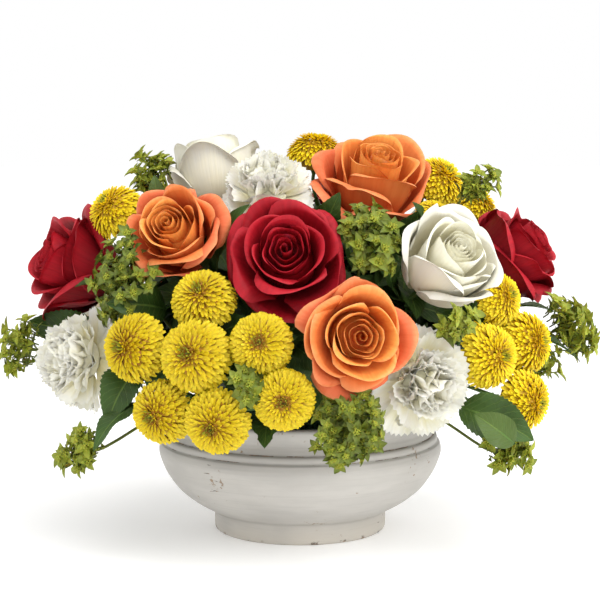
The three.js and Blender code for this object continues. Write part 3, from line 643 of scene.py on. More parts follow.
# How the petals of a rose stand, from its tight bud to its loose skirt. Angles are in degrees, radii are
# shares of the rose's radius and heights of its depth. Each pair is for a ring's first and last petal.
OPEN_ROSE = (
    {"count": 15, "step": 100, "half": (115, 74), "rim": (0.04, 0.4), "stands": (0.04, 0.36),
     "rise": (1.0, 0.93), "drop": 0.09, "lip": (0.012, 0.034), "roll": (20, 62), "lap": 0.0},
    {"count": 6, "step": 137.5, "half": (80, 72), "rim": (0.48, 0.74), "stands": (0.4, 0.57),
     "rise": (0.98, 0.8), "drop": 0.36, "lip": (0.05, 0.08), "roll": (62, 105), "lap": 0.05},
    {"count": 7, "step": 137.5, "half": (64, 58), "rim": (0.78, 0.87), "stands": (0.6, 0.7),
     "rise": (0.68, 0.38), "drop": 0.48, "lip": (0.09, 0.12), "roll": (95, 135), "lap": 0.04},
)
# What differs in a rose that is still shut.
SHUT_ROSE = (
    {"rim": (0.04, 0.33), "stands": (0.04, 0.33), "rise": (1.0, 0.97), "roll": (10, 30)},
    {"rim": (0.38, 0.66), "stands": (0.39, 0.68), "rise": (0.99, 0.94), "roll": (35, 80)},
    {"rim": (0.74, 0.88), "stands": (0.74, 0.84), "rise": (0.9, 0.7), "roll": (90, 130)},
)
ROSE_REACH = 1.02  # how far the rolled rims reach, against the rose's radius


def rose_depth(across, opened):
    return across * (0.8 - 0.2 * opened)


def rose_petal(R, H, u, turn, petal):
    """One petal of a rose, as a grid: a cup-shaped blade, and a rim that rolls outwards."""
    BLADE_ROWS, RIM_ROWS = 11, 7
    rim, stands, rise = petal.rim, petal.stands, petal.rise
    tip = petal.tip * np.exp(-((u - petal.lean) / 0.22) ** 2)
    t = np.linspace(0, 1, BLADE_ROWS)[:, None] * (1 - petal.drop * np.abs(u) ** 2.5 + tip)
    flare = np.maximum(rim - stands, 0) * petal.slope
    out = bezier(0.08 * R, stands * 1.02, stands, rim, t)
    up = bezier(0, 0.03 * H, rise - flare - 0.12 * H, rise, t)
    angle = np.arctan2(up[-1] - up[-2], out[-1] - out[-2])
    side = smooth(0.68, 1.0, np.abs(u))
    waved = np.sin(u * petal.waves + petal.phase)
    roll = petal.roll * (0.65 + 0.55 * smooth(0.05, 0.6, np.abs(u - petal.lean))) * (1 - 0.8 * side)
    lip = petal.lip * R * (1 + 0.3 * waved) * (1 - 0.7 * side)
    bend = angle - roll * (np.arange(RIM_ROWS)[:, None] + 0.5) / RIM_ROWS
    length = lip * np.maximum(roll, 0.6) / RIM_ROWS
    out = np.vstack([out, out[-1] + np.cumsum(np.cos(bend) * length, axis=0)])
    up = np.vstack([up, up[-1] + np.cumsum(np.sin(bend) * length, axis=0)])
    v = np.linspace(0, 1, BLADE_ROWS + RIM_ROWS)[:, None]
    ripple = waved * v ** 3 * petal.ripple * R
    dent = petal.ripple * 0.8 * R * np.sin(u * 2.3 + petal.phase * 2) * np.sin(v * math.pi)
    return polar(np.maximum(out + ripple * 0.6 + dent, 0.5), turn, up + ripple)


def rose(across, opened, seed):
    """The petals of a rose, each with its age: 0 in the bud and 1 at the edge of the skirt."""
    COLUMNS, SLOPES, TIPS, RIPPLES = 23, (0.35, 0.85, 0.35), (0.0, 0.1, 0.2), (0.004, 0.03, 0.06)
    rng = np.random.default_rng(seed)
    R, H = across / 2 / ROSE_REACH, rose_depth(across, opened)
    openness = np.clip((opened - 0.3) / 0.55, 0, 1)
    start = rng.uniform(0, 2 * math.pi)
    u = np.linspace(-1, 1, COLUMNS)[None, :]
    for number, (loose, tight) in enumerate(zip(OPEN_ROSE, SHUT_ROSE)):
        bud = number == 0
        rims, stands, rises, rolls = (
            np.array(tight[key]) * (1 - openness) + np.array(loose[key]) * openness
            for key in ("rim", "stands", "rise", "roll"))
        step, last = math.radians(loose["step"]), loose["count"] - 1
        for i in range(loose["count"]):
            share = i / last
            nudge = 1 + rng.uniform(-0.06, 0.05) * (0.7 if bud else 1)
            lift = rng.uniform(-0.08, 0.05) * (0.4 if bud else 1)
            skew = 0.0 if bud else rng.uniform(-0.07, 0.07)
            turn = start + i * step + u * math.radians(between(loose["half"], share))
            along = (turn - start) / (step * last) if bud else share
            crushed = 1 + 0.07 * np.sin(2 * turn + seed) + 0.04 * np.sin(5 * turn + 2 * seed) if bud else 1
            lapped = 1 + loose["lap"] * u
            petal = SimpleNamespace(
                rim=R * between(rims, along) * nudge * crushed * lapped,
                stands=R * between(stands, along) * lapped,
                rise=H * (between(rises, along) + lift + skew * u),
                roll=math.radians(between(rolls, share)) * rng.uniform(0.8, 1.15),
                tip=rng.uniform(0, TIPS[number]),
                lean=rng.uniform(-0.3, 0.3),
                waves=rng.uniform(3, 5.5),
                phase=rng.uniform(0, 6),
                lip=between(loose["lip"], share),
                drop=loose["drop"], slope=SLOPES[number], ripple=RIPPLES[number],
            )
            age = (number + share) / len(OPEN_ROSE) + rng.uniform(-0.05, 0.05)
            yield rose_petal(R, H, u, turn, petal), min(1.0, age)
        start += rng.uniform(0, 2 * math.pi)


def rose_heart(across, opened):
    """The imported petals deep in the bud, as one dome between the spiral's rims."""
    R, H = across / 2 / ROSE_REACH, rose_depth(across, opened)
    profile = ((0.01, 0.72), (0.12, 0.72), (0.24, 0.7), (0.34, 0.62), (0.42, 0.45), (0.45, 0.3), (0.3, 0.1))
    return lathe(24, *profile) * (R, R, H)


# ---- carnations and chrysanthemums

CARNATION_DEPTH, CHRYSANTHEMUM_DEPTH = 0.6, 0.64  # against the width of the head
CARNATION_REACH = 1.04  # how far the frills reach, against the carnation's radius
CHRYSANTHEMUM_RISE = 0.3  # from the head's foot to the middle of its ball, against its radius

# The rings of a carnation, from its flat skirt to its crumpled middle: how many petals, how far they lean
# from its axis (degrees), how long they are, half their spread (degrees), how deeply they are ruffled and
# how deeply they are cupped.
CARNATION_RINGS = (
    (7, 102, 1.05, 31, 0.06, -0.06),
    (7, 88, 1.04, 30, 0.075, 0.02),
    (7, 73, 1.0, 31, 0.085, 0.1),
    (7, 58, 0.97, 33, 0.1, 0.16),
    (7, 44, 0.94, 35, 0.11, 0.22),
    (6, 31, 0.9, 38, 0.11, 0.18),
    (5, 17, 0.84, 44, 0.1, 0.16),
)


def carnation(across, seed):
    """Rings of broad fans, which are toothed and ruffled along their rims."""
    ROWS, COLUMNS, TOOTH = 11, 41, 4
    rng = np.random.default_rng(seed)
    R = across / 2 / CARNATION_REACH
    u, v = sheet(ROWS, COLUMNS)
    teeth = 0.055 * (np.abs(np.arange(COLUMNS) % TOOTH - 2) / 2 - 0.5)[None, :] * smooth(0.75, 1, v)
    outline = (0.12 + 0.88 * v) * (1 - 0.13 * np.abs(u) ** 3 + teeth)
    for ring, (count, lean, reach, spread, ruffled, cupped) in enumerate(CARNATION_RINGS):
        for i in range(count):
            tilt = math.radians(lean + rng.uniform(-9, 9))
            half = math.radians(spread * rng.uniform(0.8, 1.15))
            along = R * reach * rng.uniform(0.9, 1.0) * outline
            fan = u * half * (0.55 + 0.45 * smooth(0, 0.6, v))
            waves, phase = rng.uniform(3.2, 5.2), rng.uniform(0, 6)
            ruffle = np.sin(u * waves + phase) * v ** 1.8 + 0.3 * np.sin(u * waves * 2.4 + phase * 3) * v ** 3
            fold = rng.uniform(-0.25, 0.35) * np.abs(u) * v * (0.25 + 0.12 * ring)
            lift = R * (ruffle * ruffled + cupped * v ** 2 + fold)
            out = along * np.cos(fan)
            radius = out * math.sin(tilt) - lift * math.cos(tilt)
            height = out * math.cos(tilt) + lift * math.sin(tilt) + R * (0.26 + 0.02 * ring)
            angle = i * 2 * math.pi / count + ring * 0.7 + rng.uniform(-0.15, 0.15)
            yield turned(grid(radius, along * np.sin(fan), height), angle), rng.uniform(0, 0.5) + 0.1 * ring


def carnation_heart(across):
    """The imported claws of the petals, as one body in the middle."""
    body = lathe(20, (0.01, 0.88), (0.2, 0.84), (0.36, 0.7), (0.4, 0.52), (0.36, 0.34), (0.16, 0.2))
    return body * across / 2 / CARNATION_REACH


def chrysanthemum(across, seed, count):
    """Short straps all round a ball, which stand up over its middle and lie outwards towards its rim."""
    ROWS, COLUMNS, LAST, EYE_TONE, RING_TONE = 6, 4, math.radians(108), 1.3, 0.85
    rng = np.random.default_rng(seed)
    R = across / 2
    u, v = sheet(ROWS, COLUMNS)
    round_end = np.sqrt(np.clip(1 - np.clip((v - 0.72) / 0.31, 0, 1) ** 2, 0, 1))
    outline = round_end * (0.55 + 0.45 * smooth(0, 0.6, v))
    for i in range(count):
        tilt = math.acos(1 - (i + 0.5) / count * (1 - math.cos(LAST)))
        q = tilt / LAST
        tilt += rng.uniform(-0.05, 0.05)
        normal = np.array([math.sin(tilt), 0, math.cos(tilt)])
        tangent = np.array([math.cos(tilt), 0, -math.sin(tilt)])
        lie = math.radians(np.interp(q, (0, 0.12, 0.3, 0.7, 1), (-12, 14, 50, 66, 68)) + rng.uniform(-5, 5))
        way = math.cos(lie) * normal + math.sin(lie) * tangent
        inner = math.sin(lie) * normal - math.cos(lie) * tangent
        length = R * np.interp(q, (0, 0.3, 1), (0.22, 0.34, 0.48)) * rng.uniform(0.92, 1.08)
        half = R * np.interp(q, (0, 0.15, 0.4, 1), (0.02, 0.034, 0.052, 0.072)) * rng.uniform(0.9, 1.1)
        dimple = 0.12 * math.exp(-(q / 0.2) ** 2)
        tip = normal * R * (1.01 - dimple - rng.uniform(0, 0.03 + 0.05 * q))
        lift = length * (0.14 * v ** 3 - 0.1 * np.sin(math.pi * v)) + half * 0.5 * u ** 2 * outline
        strap = grid(-length * (1 - v), half * u * outline, lift) @ np.array([way, (0, 1, 0), inner]) + tip
        strap = turned(strap, i * FAN + rng.uniform(-0.06, 0.06)) + (0, 0, CHRYSANTHEMUM_RISE * R)
        yield strap, EYE_TONE if q < 0.05 else RING_TONE if q < 0.16 else rng.uniform(0, 0.45)


def chrysanthemum_heart(across):
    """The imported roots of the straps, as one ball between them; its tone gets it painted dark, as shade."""
    CORE = 0.72
    tilts = np.radians((2, 20, 40, 60, 80, 100, 125))
    ball = lathe(20, *((CORE * math.sin(t), CORE * math.cos(t) + CHRYSANTHEMUM_RISE) for t in tilts))
    return ball * across / 2


# ---- room between the blooms

# The middle and radius of each flower head, which no leaf or spray goes into.
BLOOM_BALLS = [
    *((np.array(middle), across * 0.47) for _, middle, _, across, _ in ROSES.values()),
    *((np.array(middle), across * 0.45) for middle, _, across in CARNATIONS.values()),
    *((np.array(middle), across * 0.47) for middle, _, across, _ in CHRYSANTHEMUMS.values()),
]


def outside_blooms(point, out):
    """The point moved outwards until it is clear of every flower head, and how far it moved."""
    STEP, STEPS = 2.0, 14
    for moved in range(STEPS):
        spot = point + out * STEP * moved
        if all(np.linalg.norm(spot - middle) > radius for middle, radius in BLOOM_BALLS):
            return spot, STEP * moved
    return point, None


# ---- leaves and stems


def blade(root, tip, out, along, across, lift):
    """A leaf's points, by how far each is along it (from 0 to 1), across it and out of its face."""
    axis = tip - root
    side = unit(np.cross(axis, out))
    return grid(along, across, lift) @ np.array([axis, side, unit(np.cross(side, axis))]) + root


def narrow_leaf(skin, root, tip, out, wide, tone):
    """A plain pointed leaf, folded along its rib."""
    u, v = sheet(8, 5)
    outline = np.sin(math.pi * v ** 0.75) ** 0.9
    lift = np.linalg.norm(tip - root) * 0.5 * v * (1 - v) + np.abs(u) * outline * wide * 0.12
    skin.patch(blade(root, tip, out, v, u * outline * wide / 2, lift), tone)


def leaf_outline(kind, t):
    """A leaf's half-width along its length, against 1 at its widest, with the teeth or lobes of its kind."""
    body = np.sin(math.pi * t ** 0.78) ** 0.8
    if kind == "plain":
        return body
    teeth = (t * 15) % 1 - 0.5
    if kind == "lobed":
        lobes = 0.6 + 0.4 * np.abs(np.cos(math.pi * (t * 3.1 + 0.12))) ** 0.6
        return body * lobes * (1 + 0.1 * teeth)
    return body * (1 + 0.11 * teeth)


def leaf(skin, kind, root, tip, wide, out, rng, rows=46):
    """An arched blade, folded at its midrib, with waved and toothed edges, and the rib behind it."""
    COLUMNS, SIDE_VEINS, RIB_STEP = 11, 9, 5
    length = np.linalg.norm(tip - root)
    u = np.linspace(-1, 1, COLUMNS)[None, :]
    t = np.linspace(0.01, 1, rows)[:, None]
    edge = np.abs(u)
    outline = leaf_outline(kind, t)
    wave = np.sin(t * rng.uniform(9, 13) + rng.uniform(0, 6)) * edge ** 2 * outline * length * 0.035
    quilt = np.abs(np.sin((t - edge * 0.1) * math.pi * SIDE_VEINS)) * edge * (1 - edge) * wide * 0.06
    fold = edge * outline * wide * rng.uniform(0.1, 0.2)
    lift = length * 0.5 * t * (1 - t) + fold + wave + quilt
    tone = 0.9 if kind == "plain" else rng.uniform(0, 0.5) ** 2
    skin.patch(blade(root, tip, out, t, u * outline * wide / 2, lift), tone, 1)
    rib = blade(root, tip, out, t[::RIB_STEP, 0], 0, lift[::RIB_STEP, COLUMNS // 2] - 0.3)
    skin.tube(rib, np.linspace(0.7, 0.15, len(rib)), sides=5)


def in_foam(point, radius):
    """Where a thin stem that starts at a point ends in the foam."""
    end = unit((point[0], point[1], 0)) * radius
    end[2] = min(point[2], 100)
    return end


def way_in(start, end):
    """The way in from a point above the bowl: over its lip if it starts low."""
    reach, inner = math.hypot(*start[:2]), math.hypot(*end[:2])
    share = (reach - LIP_RADIUS) / (reach - inner)
    crossing = start + (end - start) * min(max(share, 0), 1)
    if share <= 0 or crossing[2] >= LIP_CLEAR:
        return [start, end]
    over = unit((start[0], start[1], 0)) * LIP_RADIUS
    over[2] = LIP_CLEAR + STEM
    return [start, over, end]


class Greenery:
    """The stems and leaves of one side of the bowl."""

    def __init__(self, azimuth):
        self.azimuth = azimuth
        self.hub = facing(azimuth, 0) * HUB_RADIUS + (0, 0, HUB_HEIGHT)
        self.skin = Skin()
        self.routes = []

    def stem(self, start):
        """A stem from a point above the bowl to this side's hub."""
        route = way_in(start, self.hub)
        self.routes.append(route)
        self.skin.tube(curved(route), STEM)

    def twig(self, root, sag, radius, sides):
        """A twig to a leaf's root from the nearest point of this side's stems that is outside the foam."""
        CLEAR, STEPS = 11, 20
        shares = np.linspace(0, 1, STEPS, endpoint=False)
        stretches = [ends for route in self.routes for ends in zip(route, route[1:])]
        spots = [start + (end - start) * share for start, end in stretches for share in shares]
        spots = [spot for spot in spots if math.hypot(*spot[:2]) > LIP_RADIUS or spot[2] > FOAM_TOP + CLEAR]
        if spots:
            joint = min(spots, key=lambda spot: np.linalg.norm(spot - root))
            self.skin.tube(curved([joint, (joint + root) / 2 - sag, root], 4), radius, sides=sides)


def side_of(greens, point):
    """The side of the bowl that a point is on."""
    azimuth = math.degrees(math.atan2(point[0], -point[1]))
    return min(greens.values(), key=lambda g: abs((azimuth - g.azimuth + 180) % 360 - 180))


def sepals(skin, bloom, rng):
    """The hip under a rose and its five long sepals, which bend back."""
    COUNT = 5
    seat = bloom.axis * 0.6
    hip = lathe(10, (1.9, -15), (3.6, -11), (5.6, -6), (5.2, -2.5), (3.6, -0.6))
    skin.patch(bloom.placed(hip) - seat, 0.25, closed=True)
    u, v = sheet(9, 5)
    outline = 3.4 * (1 - v) ** 0.7 * (0.7 + 0.3 * np.sin(v * math.pi))
    for i in range(COUNT):
        lift = -2 - 3.5 * v * rng.uniform(0.4, 1.4) + 0.12 * u ** 2 * outline
        angle = i * 2 * math.pi / COUNT + rng.uniform(-0.2, 0.2)
        sepal = turned(grid(4 + 17 * v, u * outline, lift), angle)
        skin.patch(bloom.placed(sepal) - seat, rng.uniform(0.1, 0.3), 1)


def calyx(skin, bloom):
    """A carnation's long calyx, with the points of its rim."""
    SIDES, POINT = 20, 4
    cup = lathe(SIDES, (1.9, -27), (3.2, -24), (5.2, -16), (6.6, -5), (7.6, -1))
    points = np.where(np.arange(SIDES) % POINT == 0, 3.5, 0.0)
    rim = polar(8.4, circle(SIDES), 1.5 + points)
    skin.patch(bloom.placed(np.vstack([cup, rim[None]])), 0.5, closed=True)


def filler(greens, inner, outer, seed):
    """Leaves that fill the room behind the blooms: broad ones laid flat inside, and loose ones over them."""
    rng = np.random.default_rng(seed)
    CENTRE, RADII = np.array([0, 0, 116]), np.array([136, 112, 124])
    FLAT, LOOSE = ((0.68, 0.88), (0, 0.3), (56, 70)), ((0.75, 1.05), (0.1, 0.8), (38, 56))
    for i in range(inner + outer):
        flat = i < inner
        depths, leans, lengths = FLAT if flat else LOOSE
        height = (i + 0.5) / inner if flat else (i - inner + 0.5) / outer
        way = polar(math.sqrt(1 - height ** 2), i * FAN, height)
        spot = CENTRE + way * RADII * rng.uniform(*depths)
        across = unit(np.cross(way, rng.normal(size=3)))
        lean = unit(across + way * rng.uniform(*leans))
        length = rng.uniform(*lengths)
        root, tip = spot - lean * length * 0.5, spot + lean * length * 0.5
        root[2] = max(root[2], LIP_CLEAR + 12)
        tip[2] = max(tip[2], LIP_CLEAR + 4)
        tip, moved = outside_blooms(tip, way)
        if moved is None or not flat and outside_blooms((root + tip) / 2, way)[1] != 0:
            continue
        side = side_of(greens, spot)
        leaf(side.skin, "broad", root, tip, length * rng.uniform(0.42, 0.6), way, rng, 26)
        side.twig(root, way * 3, 0.8, 5)


# ---- bupleurum


def star(skin, spot, faces, rng, bract, young):
    """A star of pointed, cupped bracts, with smaller ones inside it round a tuft of florets.

    Young is its share of painted light: the lower it is, the darker its bracts are painted, as shade, and the
    higher, the lighter and yellower, the inner bracts most.
    """
    OUTER, INNER, FLORETS = 5, 4, 9
    basis = standing(faces)
    u, v = sheet(6, 5)
    start = rng.uniform(0, 2 * math.pi)
    for i in range(OUTER + INNER):
        inside = i >= OUTER
        length = bract * (0.6 if inside else rng.uniform(0.85, 1.15))
        cup = math.radians(rng.uniform(52, 75) if inside else rng.uniform(8, 58))
        outline = np.sin(math.pi * v ** 0.66) ** 0.95 * 0.3 * length
        bend = cup * (1 - 0.45 * v)
        lift = v * length * np.sin(bend) + 0.6 * np.abs(u) ** 1.5 * outline
        angle = start + i * 2 * math.pi / OUTER * (1.27 if inside else 1) + rng.uniform(-0.25, 0.25)
        local = turned(grid(0.4 + v * length * np.cos(bend), u * outline, lift), angle)
        # Painted light and shade by young, with the inner bracts yellower, as at a star's heart.
        yellow = rng.uniform(0.4, 0.7) if inside else rng.uniform(0, 0.35)
        skin.patch(local @ basis.T + spot, young * yellow - (1 - young) * rng.uniform(0.4, 1))
    for i in range(FLORETS):
        reach = math.sqrt((i + 0.3) / FLORETS) * bract * 0.36
        head = basis @ polar(reach, i * FAN, bract * 0.38 - reach * 0.3) + spot
        route = [*np.linspace(spot, head, 3), head + basis[:, 2] * 0.6]
        skin.tube(route, (0.2, 0.2, 0.95, 0.25), rng.uniform(0.75, 1), sides=5)


def bupleurum(skin, middle, size, lean, stars, seed):
    """A thin stem with short side shoots all along it, each with a star and a few small leaves.

    Small sprays have larger bracts and are painted lighter than large ones, and lightest where they stand out
    at the sides; within a spray the inner stars are painted darker, as shade.
    """
    FORK, REACH, SMALL, EDGE = 12, 62, 36, 105
    SMALL_LEAVES, LEAVES_BELOW = 3, 3
    # Small sprays get larger bracts and painted light; small ones out at the sides (sunny) get more painted
    # light.
    small_spray = stars < SMALL
    sunny = small_spray and abs(middle[0]) > EDGE
    rng = np.random.default_rng(seed)
    middle = np.array(middle, float)
    out = unit((middle[0], middle[1], (middle[2] - HUB_HEIGHT) * 0.7))
    basis = standing(out)
    tilt = math.radians(-lean)
    sideways, upwards = basis @ polar(1, tilt, 0), basis @ polar(1, tilt + math.pi / 2, 0)
    fork = middle - out * FORK
    for i in range(stars):
        reach = math.sqrt((i + 0.4) / stars)
        x, y, _ = polar(reach / 2, i * FAN, 0) * (*size, 0)
        depth = 6 * (1 - reach ** 2) + rng.uniform(-18, 4)
        spot = middle + sideways * x + upwards * y + out * depth
        start = fork + sideways * x * 0.4 + upwards * y * 0.72 + out * min(depth, 0) * 0.7
        faces = unit(unit(spot - start) + out * 0.3 + rng.uniform(-0.6, 0.6, 3))
        spot, _ = outside_blooms(spot, out)
        bend = (start + spot) / 2 + out * 1.5 + rng.uniform(-1.5, 1.5, 3)
        skin.tube(curved([start, bend, spot], 4), RAY, 0.2, 1, 5)
        for share in rng.uniform(0.2, 0.8, SMALL_LEAVES):
            root = start + (spot - start) * share
            way = unit(unit(spot - start) * 0.5 + out * 0.3 + unit(rng.normal(size=3)))
            tip, wide = root + way * rng.uniform(7, 11), rng.uniform(4, 5.6)
            # Painted shade on the small leaves, lifted by painted light on small sprays and on side sprays.
            tone = rng.uniform(-0.9 + 0.6 * small_spray + 0.4 * sunny, 0.2 + 0.3 * sunny)
            narrow_leaf(skin, root, tip, out, wide, tone)
        bract = rng.uniform(6.2, 8.6) * (1.18 if small_spray else 1)
        # Painted light on each star: lighter towards the spray's edge and on small and side sprays, and
        # darker inside as shade.
        young = reach * 0.6 + rng.uniform(0, 0.6) + 0.3 * small_spray + 0.5 * sunny
        star(skin, spot, faces, rng, bract, min(young, 1 + 0.4 * sunny))
    ends = [fork - upwards * size[1] * 0.3, fork, fork + upwards * size[1] * 0.3]
    skin.tube(curved(ends, 4), RAY * 1.4, 0.2, 1, 5)
    below = way_in(fork - out * 12, in_foam(fork, REACH))
    skin.tube(curved([fork, *below], 5), THREAD, 0.2, 1, 6)
    for i in range(LEAVES_BELOW):
        root = fork - out * (2 + 5 * i)
        tip = root + basis @ polar(15, i * FAN + lean, 9)
        narrow_leaf(skin, root, tip, out, 9, rng.uniform(0, 0.3))


# ---- settings


def colour(name, description, default):
    """A setting for a colour."""
    return bpy.props.FloatVectorProperty(
        name=name, description=description, subtype="COLOR", size=3, default=default)


def count(name, description, default, low, high):
    """A setting for a whole number."""
    return bpy.props.IntProperty(name=name, description=description, default=default, min=low, max=high)


def amount(name, description, default, low, **more):
    """A setting for a measure or a strength."""
    return bpy.props.FloatProperty(name=name, description=description, default=default, min=low, **more)


class CENTERPIECE_PG_blooms(bpy.types.PropertyGroup):
    """Sizes and colours of the flower heads."""

    chrysanthemum_petals: count("Chrysanthemum petals", "Straps in each button chrysanthemum", 440, 80, 600)
    red: colour("Red rose", "Petals of the red roses", (0.46, 0.008, 0.019))
    orange: colour("Orange rose", "Petals of the orange roses", (0.84, 0.32, 0.066))
    # The ivory roses' skirt colour, greyed as painted shade.
    white: colour("Ivory rose", "Petals of the ivory roses", (0.69, 0.672, 0.6))
    carnation: colour("Carnation", "Petals of the carnations", (0.93, 0.915, 0.85))
    chrysanthemum: colour("Chrysanthemum", "Petals of the chrysanthemums", (0.91, 0.7, 0.012))


class CENTERPIECE_PG_green(bpy.types.PropertyGroup):
    """Sizes and colours of all that is green."""

    inner_leaves: count("Inner leaves", "Broad leaves that lie deep between the blooms", 110, 0, 400)
    outer_leaves: count("Outer leaves", "Loose leaves just behind the blooms", 170, 0, 400)
    leaf: colour("Leaf", "Blades of the leaves", (0.036, 0.08, 0.012))
    vein: colour("Vein", "Midribs and side veins", (0.17, 0.26, 0.05))
    stem: colour("Stem", "Stems and cups", (0.08, 0.17, 0.03))
    bract: colour("Bupleurum", "Bracts and florets of bupleurum", (0.185, 0.235, 0.024))
    foam: colour("Foam", "Wet floral foam", (0.02, 0.075, 0.03))


class CENTERPIECE_PG_bowl(bpy.types.PropertyGroup):
    """Sizes and colours of the bowl."""

    sides: count("Sides", "Steps round the bowl", 192, 48, 512)
    wash: colour("Whitewash", "Outer coat", (0.52, 0.5, 0.465))
    under: colour("Under the whitewash", "Where the coat has worn off", (0.3, 0.2, 0.12))
    dark: colour("Grime", "Dark wear in the grooves", (0.06, 0.045, 0.035))


class CENTERPIECE_PG_stage(bpy.types.PropertyGroup):
    """Floor, lights and camera."""

    lens: amount("Lens", "Focal length, in millimetres", 112.86, 20, max=300)
    distance: amount("Distance", "From the camera to the bowl's axis", 1.4, 0.3, unit="LENGTH")
    key: amount("Key light", "Power of the large light at the upper right", 32.0, 0, unit="POWER")
    top: amount("Top light", "Power of the light overhead", 5.0, 0, unit="POWER")
    sky: amount("Surroundings", "Strength of the white surroundings", 1.0, 0)


# ---- operators


class CENTERPIECE_OT_roses(bpy.types.Operator):
    """Builds every rose and replaces its CAD solid"""

    bl_idname = "centerpiece.roses"
    bl_label = "Roses"

    def execute(self, context):
        FIRST_SEED = 11
        blooms = context.scene.centerpiece_blooms
        # Rim colours: painted highlights on the red and orange petals; the ivory's rim and skirt colours are
        # greyed as painted shade.
        finishes = {
            "red": rose_finish(
                "rose_petals_red", deep=(0.11, 0.0, 0.004), young=shade(blooms.red, 0.92),
                old=shade(blooms.red, 0.78), rim=(0.5, 0.02, 0.034), sheen=0.08),
            "orange": rose_finish(
                "rose_petals_orange", deep=(0.66, 0.09, 0.012), young=tuple(blooms.orange),
                old=(0.7, 0.16, 0.062), rim=(0.86, 0.41, 0.18), sheen=0.1),
            "white": rose_finish(
                "rose_petals_white", deep=(0.9, 0.84, 0.6), young=(0.95, 0.92, 0.75),
                old=tuple(blooms.white), rim=(0.77, 0.755, 0.68), sheen=0.1, glow=(1.0, 0.95, 0.8)),
        }
        for seed, (name, (kind, middle, face, across, opened)) in enumerate(ROSES.items(), FIRST_SEED):
            bloom = Bloom(middle, face, rose_depth(across, opened))
            petals, heart = rose(across, opened, seed), rose_heart(across, opened)
            flower(name, bloom, petals, heart, 0.0, finishes[kind], "rose_" + kind)
        return {"FINISHED"}


class CENTERPIECE_OT_carnations(bpy.types.Operator):
    """Builds every carnation and replaces its CAD solid"""

    bl_idname = "centerpiece.carnations"
    bl_label = "Carnations"

    def execute(self, context):
        FIRST_SEED = 41
        finish = carnation_finish(tuple(context.scene.centerpiece_blooms.carnation), (0.86, 0.78, 0.46))
        for seed, (name, (middle, face, across)) in enumerate(CARNATIONS.items(), FIRST_SEED):
            bloom = Bloom(middle, face, across * CARNATION_DEPTH)
            flower(name, bloom, carnation(across, seed), carnation_heart(across), 0.9, finish, "carnation")
        return {"FINISHED"}


class CENTERPIECE_OT_chrysanthemums(bpy.types.Operator):
    """Builds every button chrysanthemum and replaces its CAD solid"""

    bl_idname = "centerpiece.chrysanthemums"
    bl_label = "Button chrysanthemums"

    def execute(self, context):
        FIRST_SEED = 71
        blooms = context.scene.centerpiece_blooms
        body, straps = blooms.chrysanthemum, blooms.chrysanthemum_petals
        # Painted light and shade: a lighter copy of the finish for the sprays on the lit side, and a darker
        # copy for those on the shaded side.
        lit_petals = chrysanthemum_finish("chrysanthemum_petals_lit", shade(body, 1.05), (0.52, 0.3, 0.01))
        shaded_petals = chrysanthemum_finish("chrysanthemum_petals_shaded", shade(body, 0.9), (0.38, 0.18, 0.007))
        for seed, (name, (middle, face, across, spray)) in enumerate(CHRYSANTHEMUMS.items(), FIRST_SEED):
            bloom = Bloom(middle, face, across * CHRYSANTHEMUM_DEPTH)
            petals, heart = chrysanthemum(across, seed, straps), chrysanthemum_heart(across)
            finish = shaded_petals if spray in SHADED_SPRAYS else lit_petals
            # A heart tone of -1 paints the ball between the straps dark: painted shade.
            flower(name, bloom, petals, heart, -1.0, finish, "chrysanthemum")
        return {"FINISHED"}


class CENTERPIECE_OT_bupleurum(bpy.types.Operator):
    """Builds every spray of bupleurum and replaces its CAD solid"""

    bl_idname = "centerpiece.bupleurum"
    bl_label = "Bupleurum"

    def execute(self, context):
        FIRST_SEED = 101
        bract = context.scene.centerpiece_green.bract
        finishes = [bract_finish(tuple(bract), shade(bract, 0.42)), stem_finish(shade(bract, 0.6))]
        for seed, (name, spray) in enumerate(BUPLEURUM.items(), FIRST_SEED):
            skin = Skin()
            bupleurum(skin, *spray, seed)
            skin.piece("spray_" + name, finishes, "bupleurum", name)
        return {"FINISHED"}


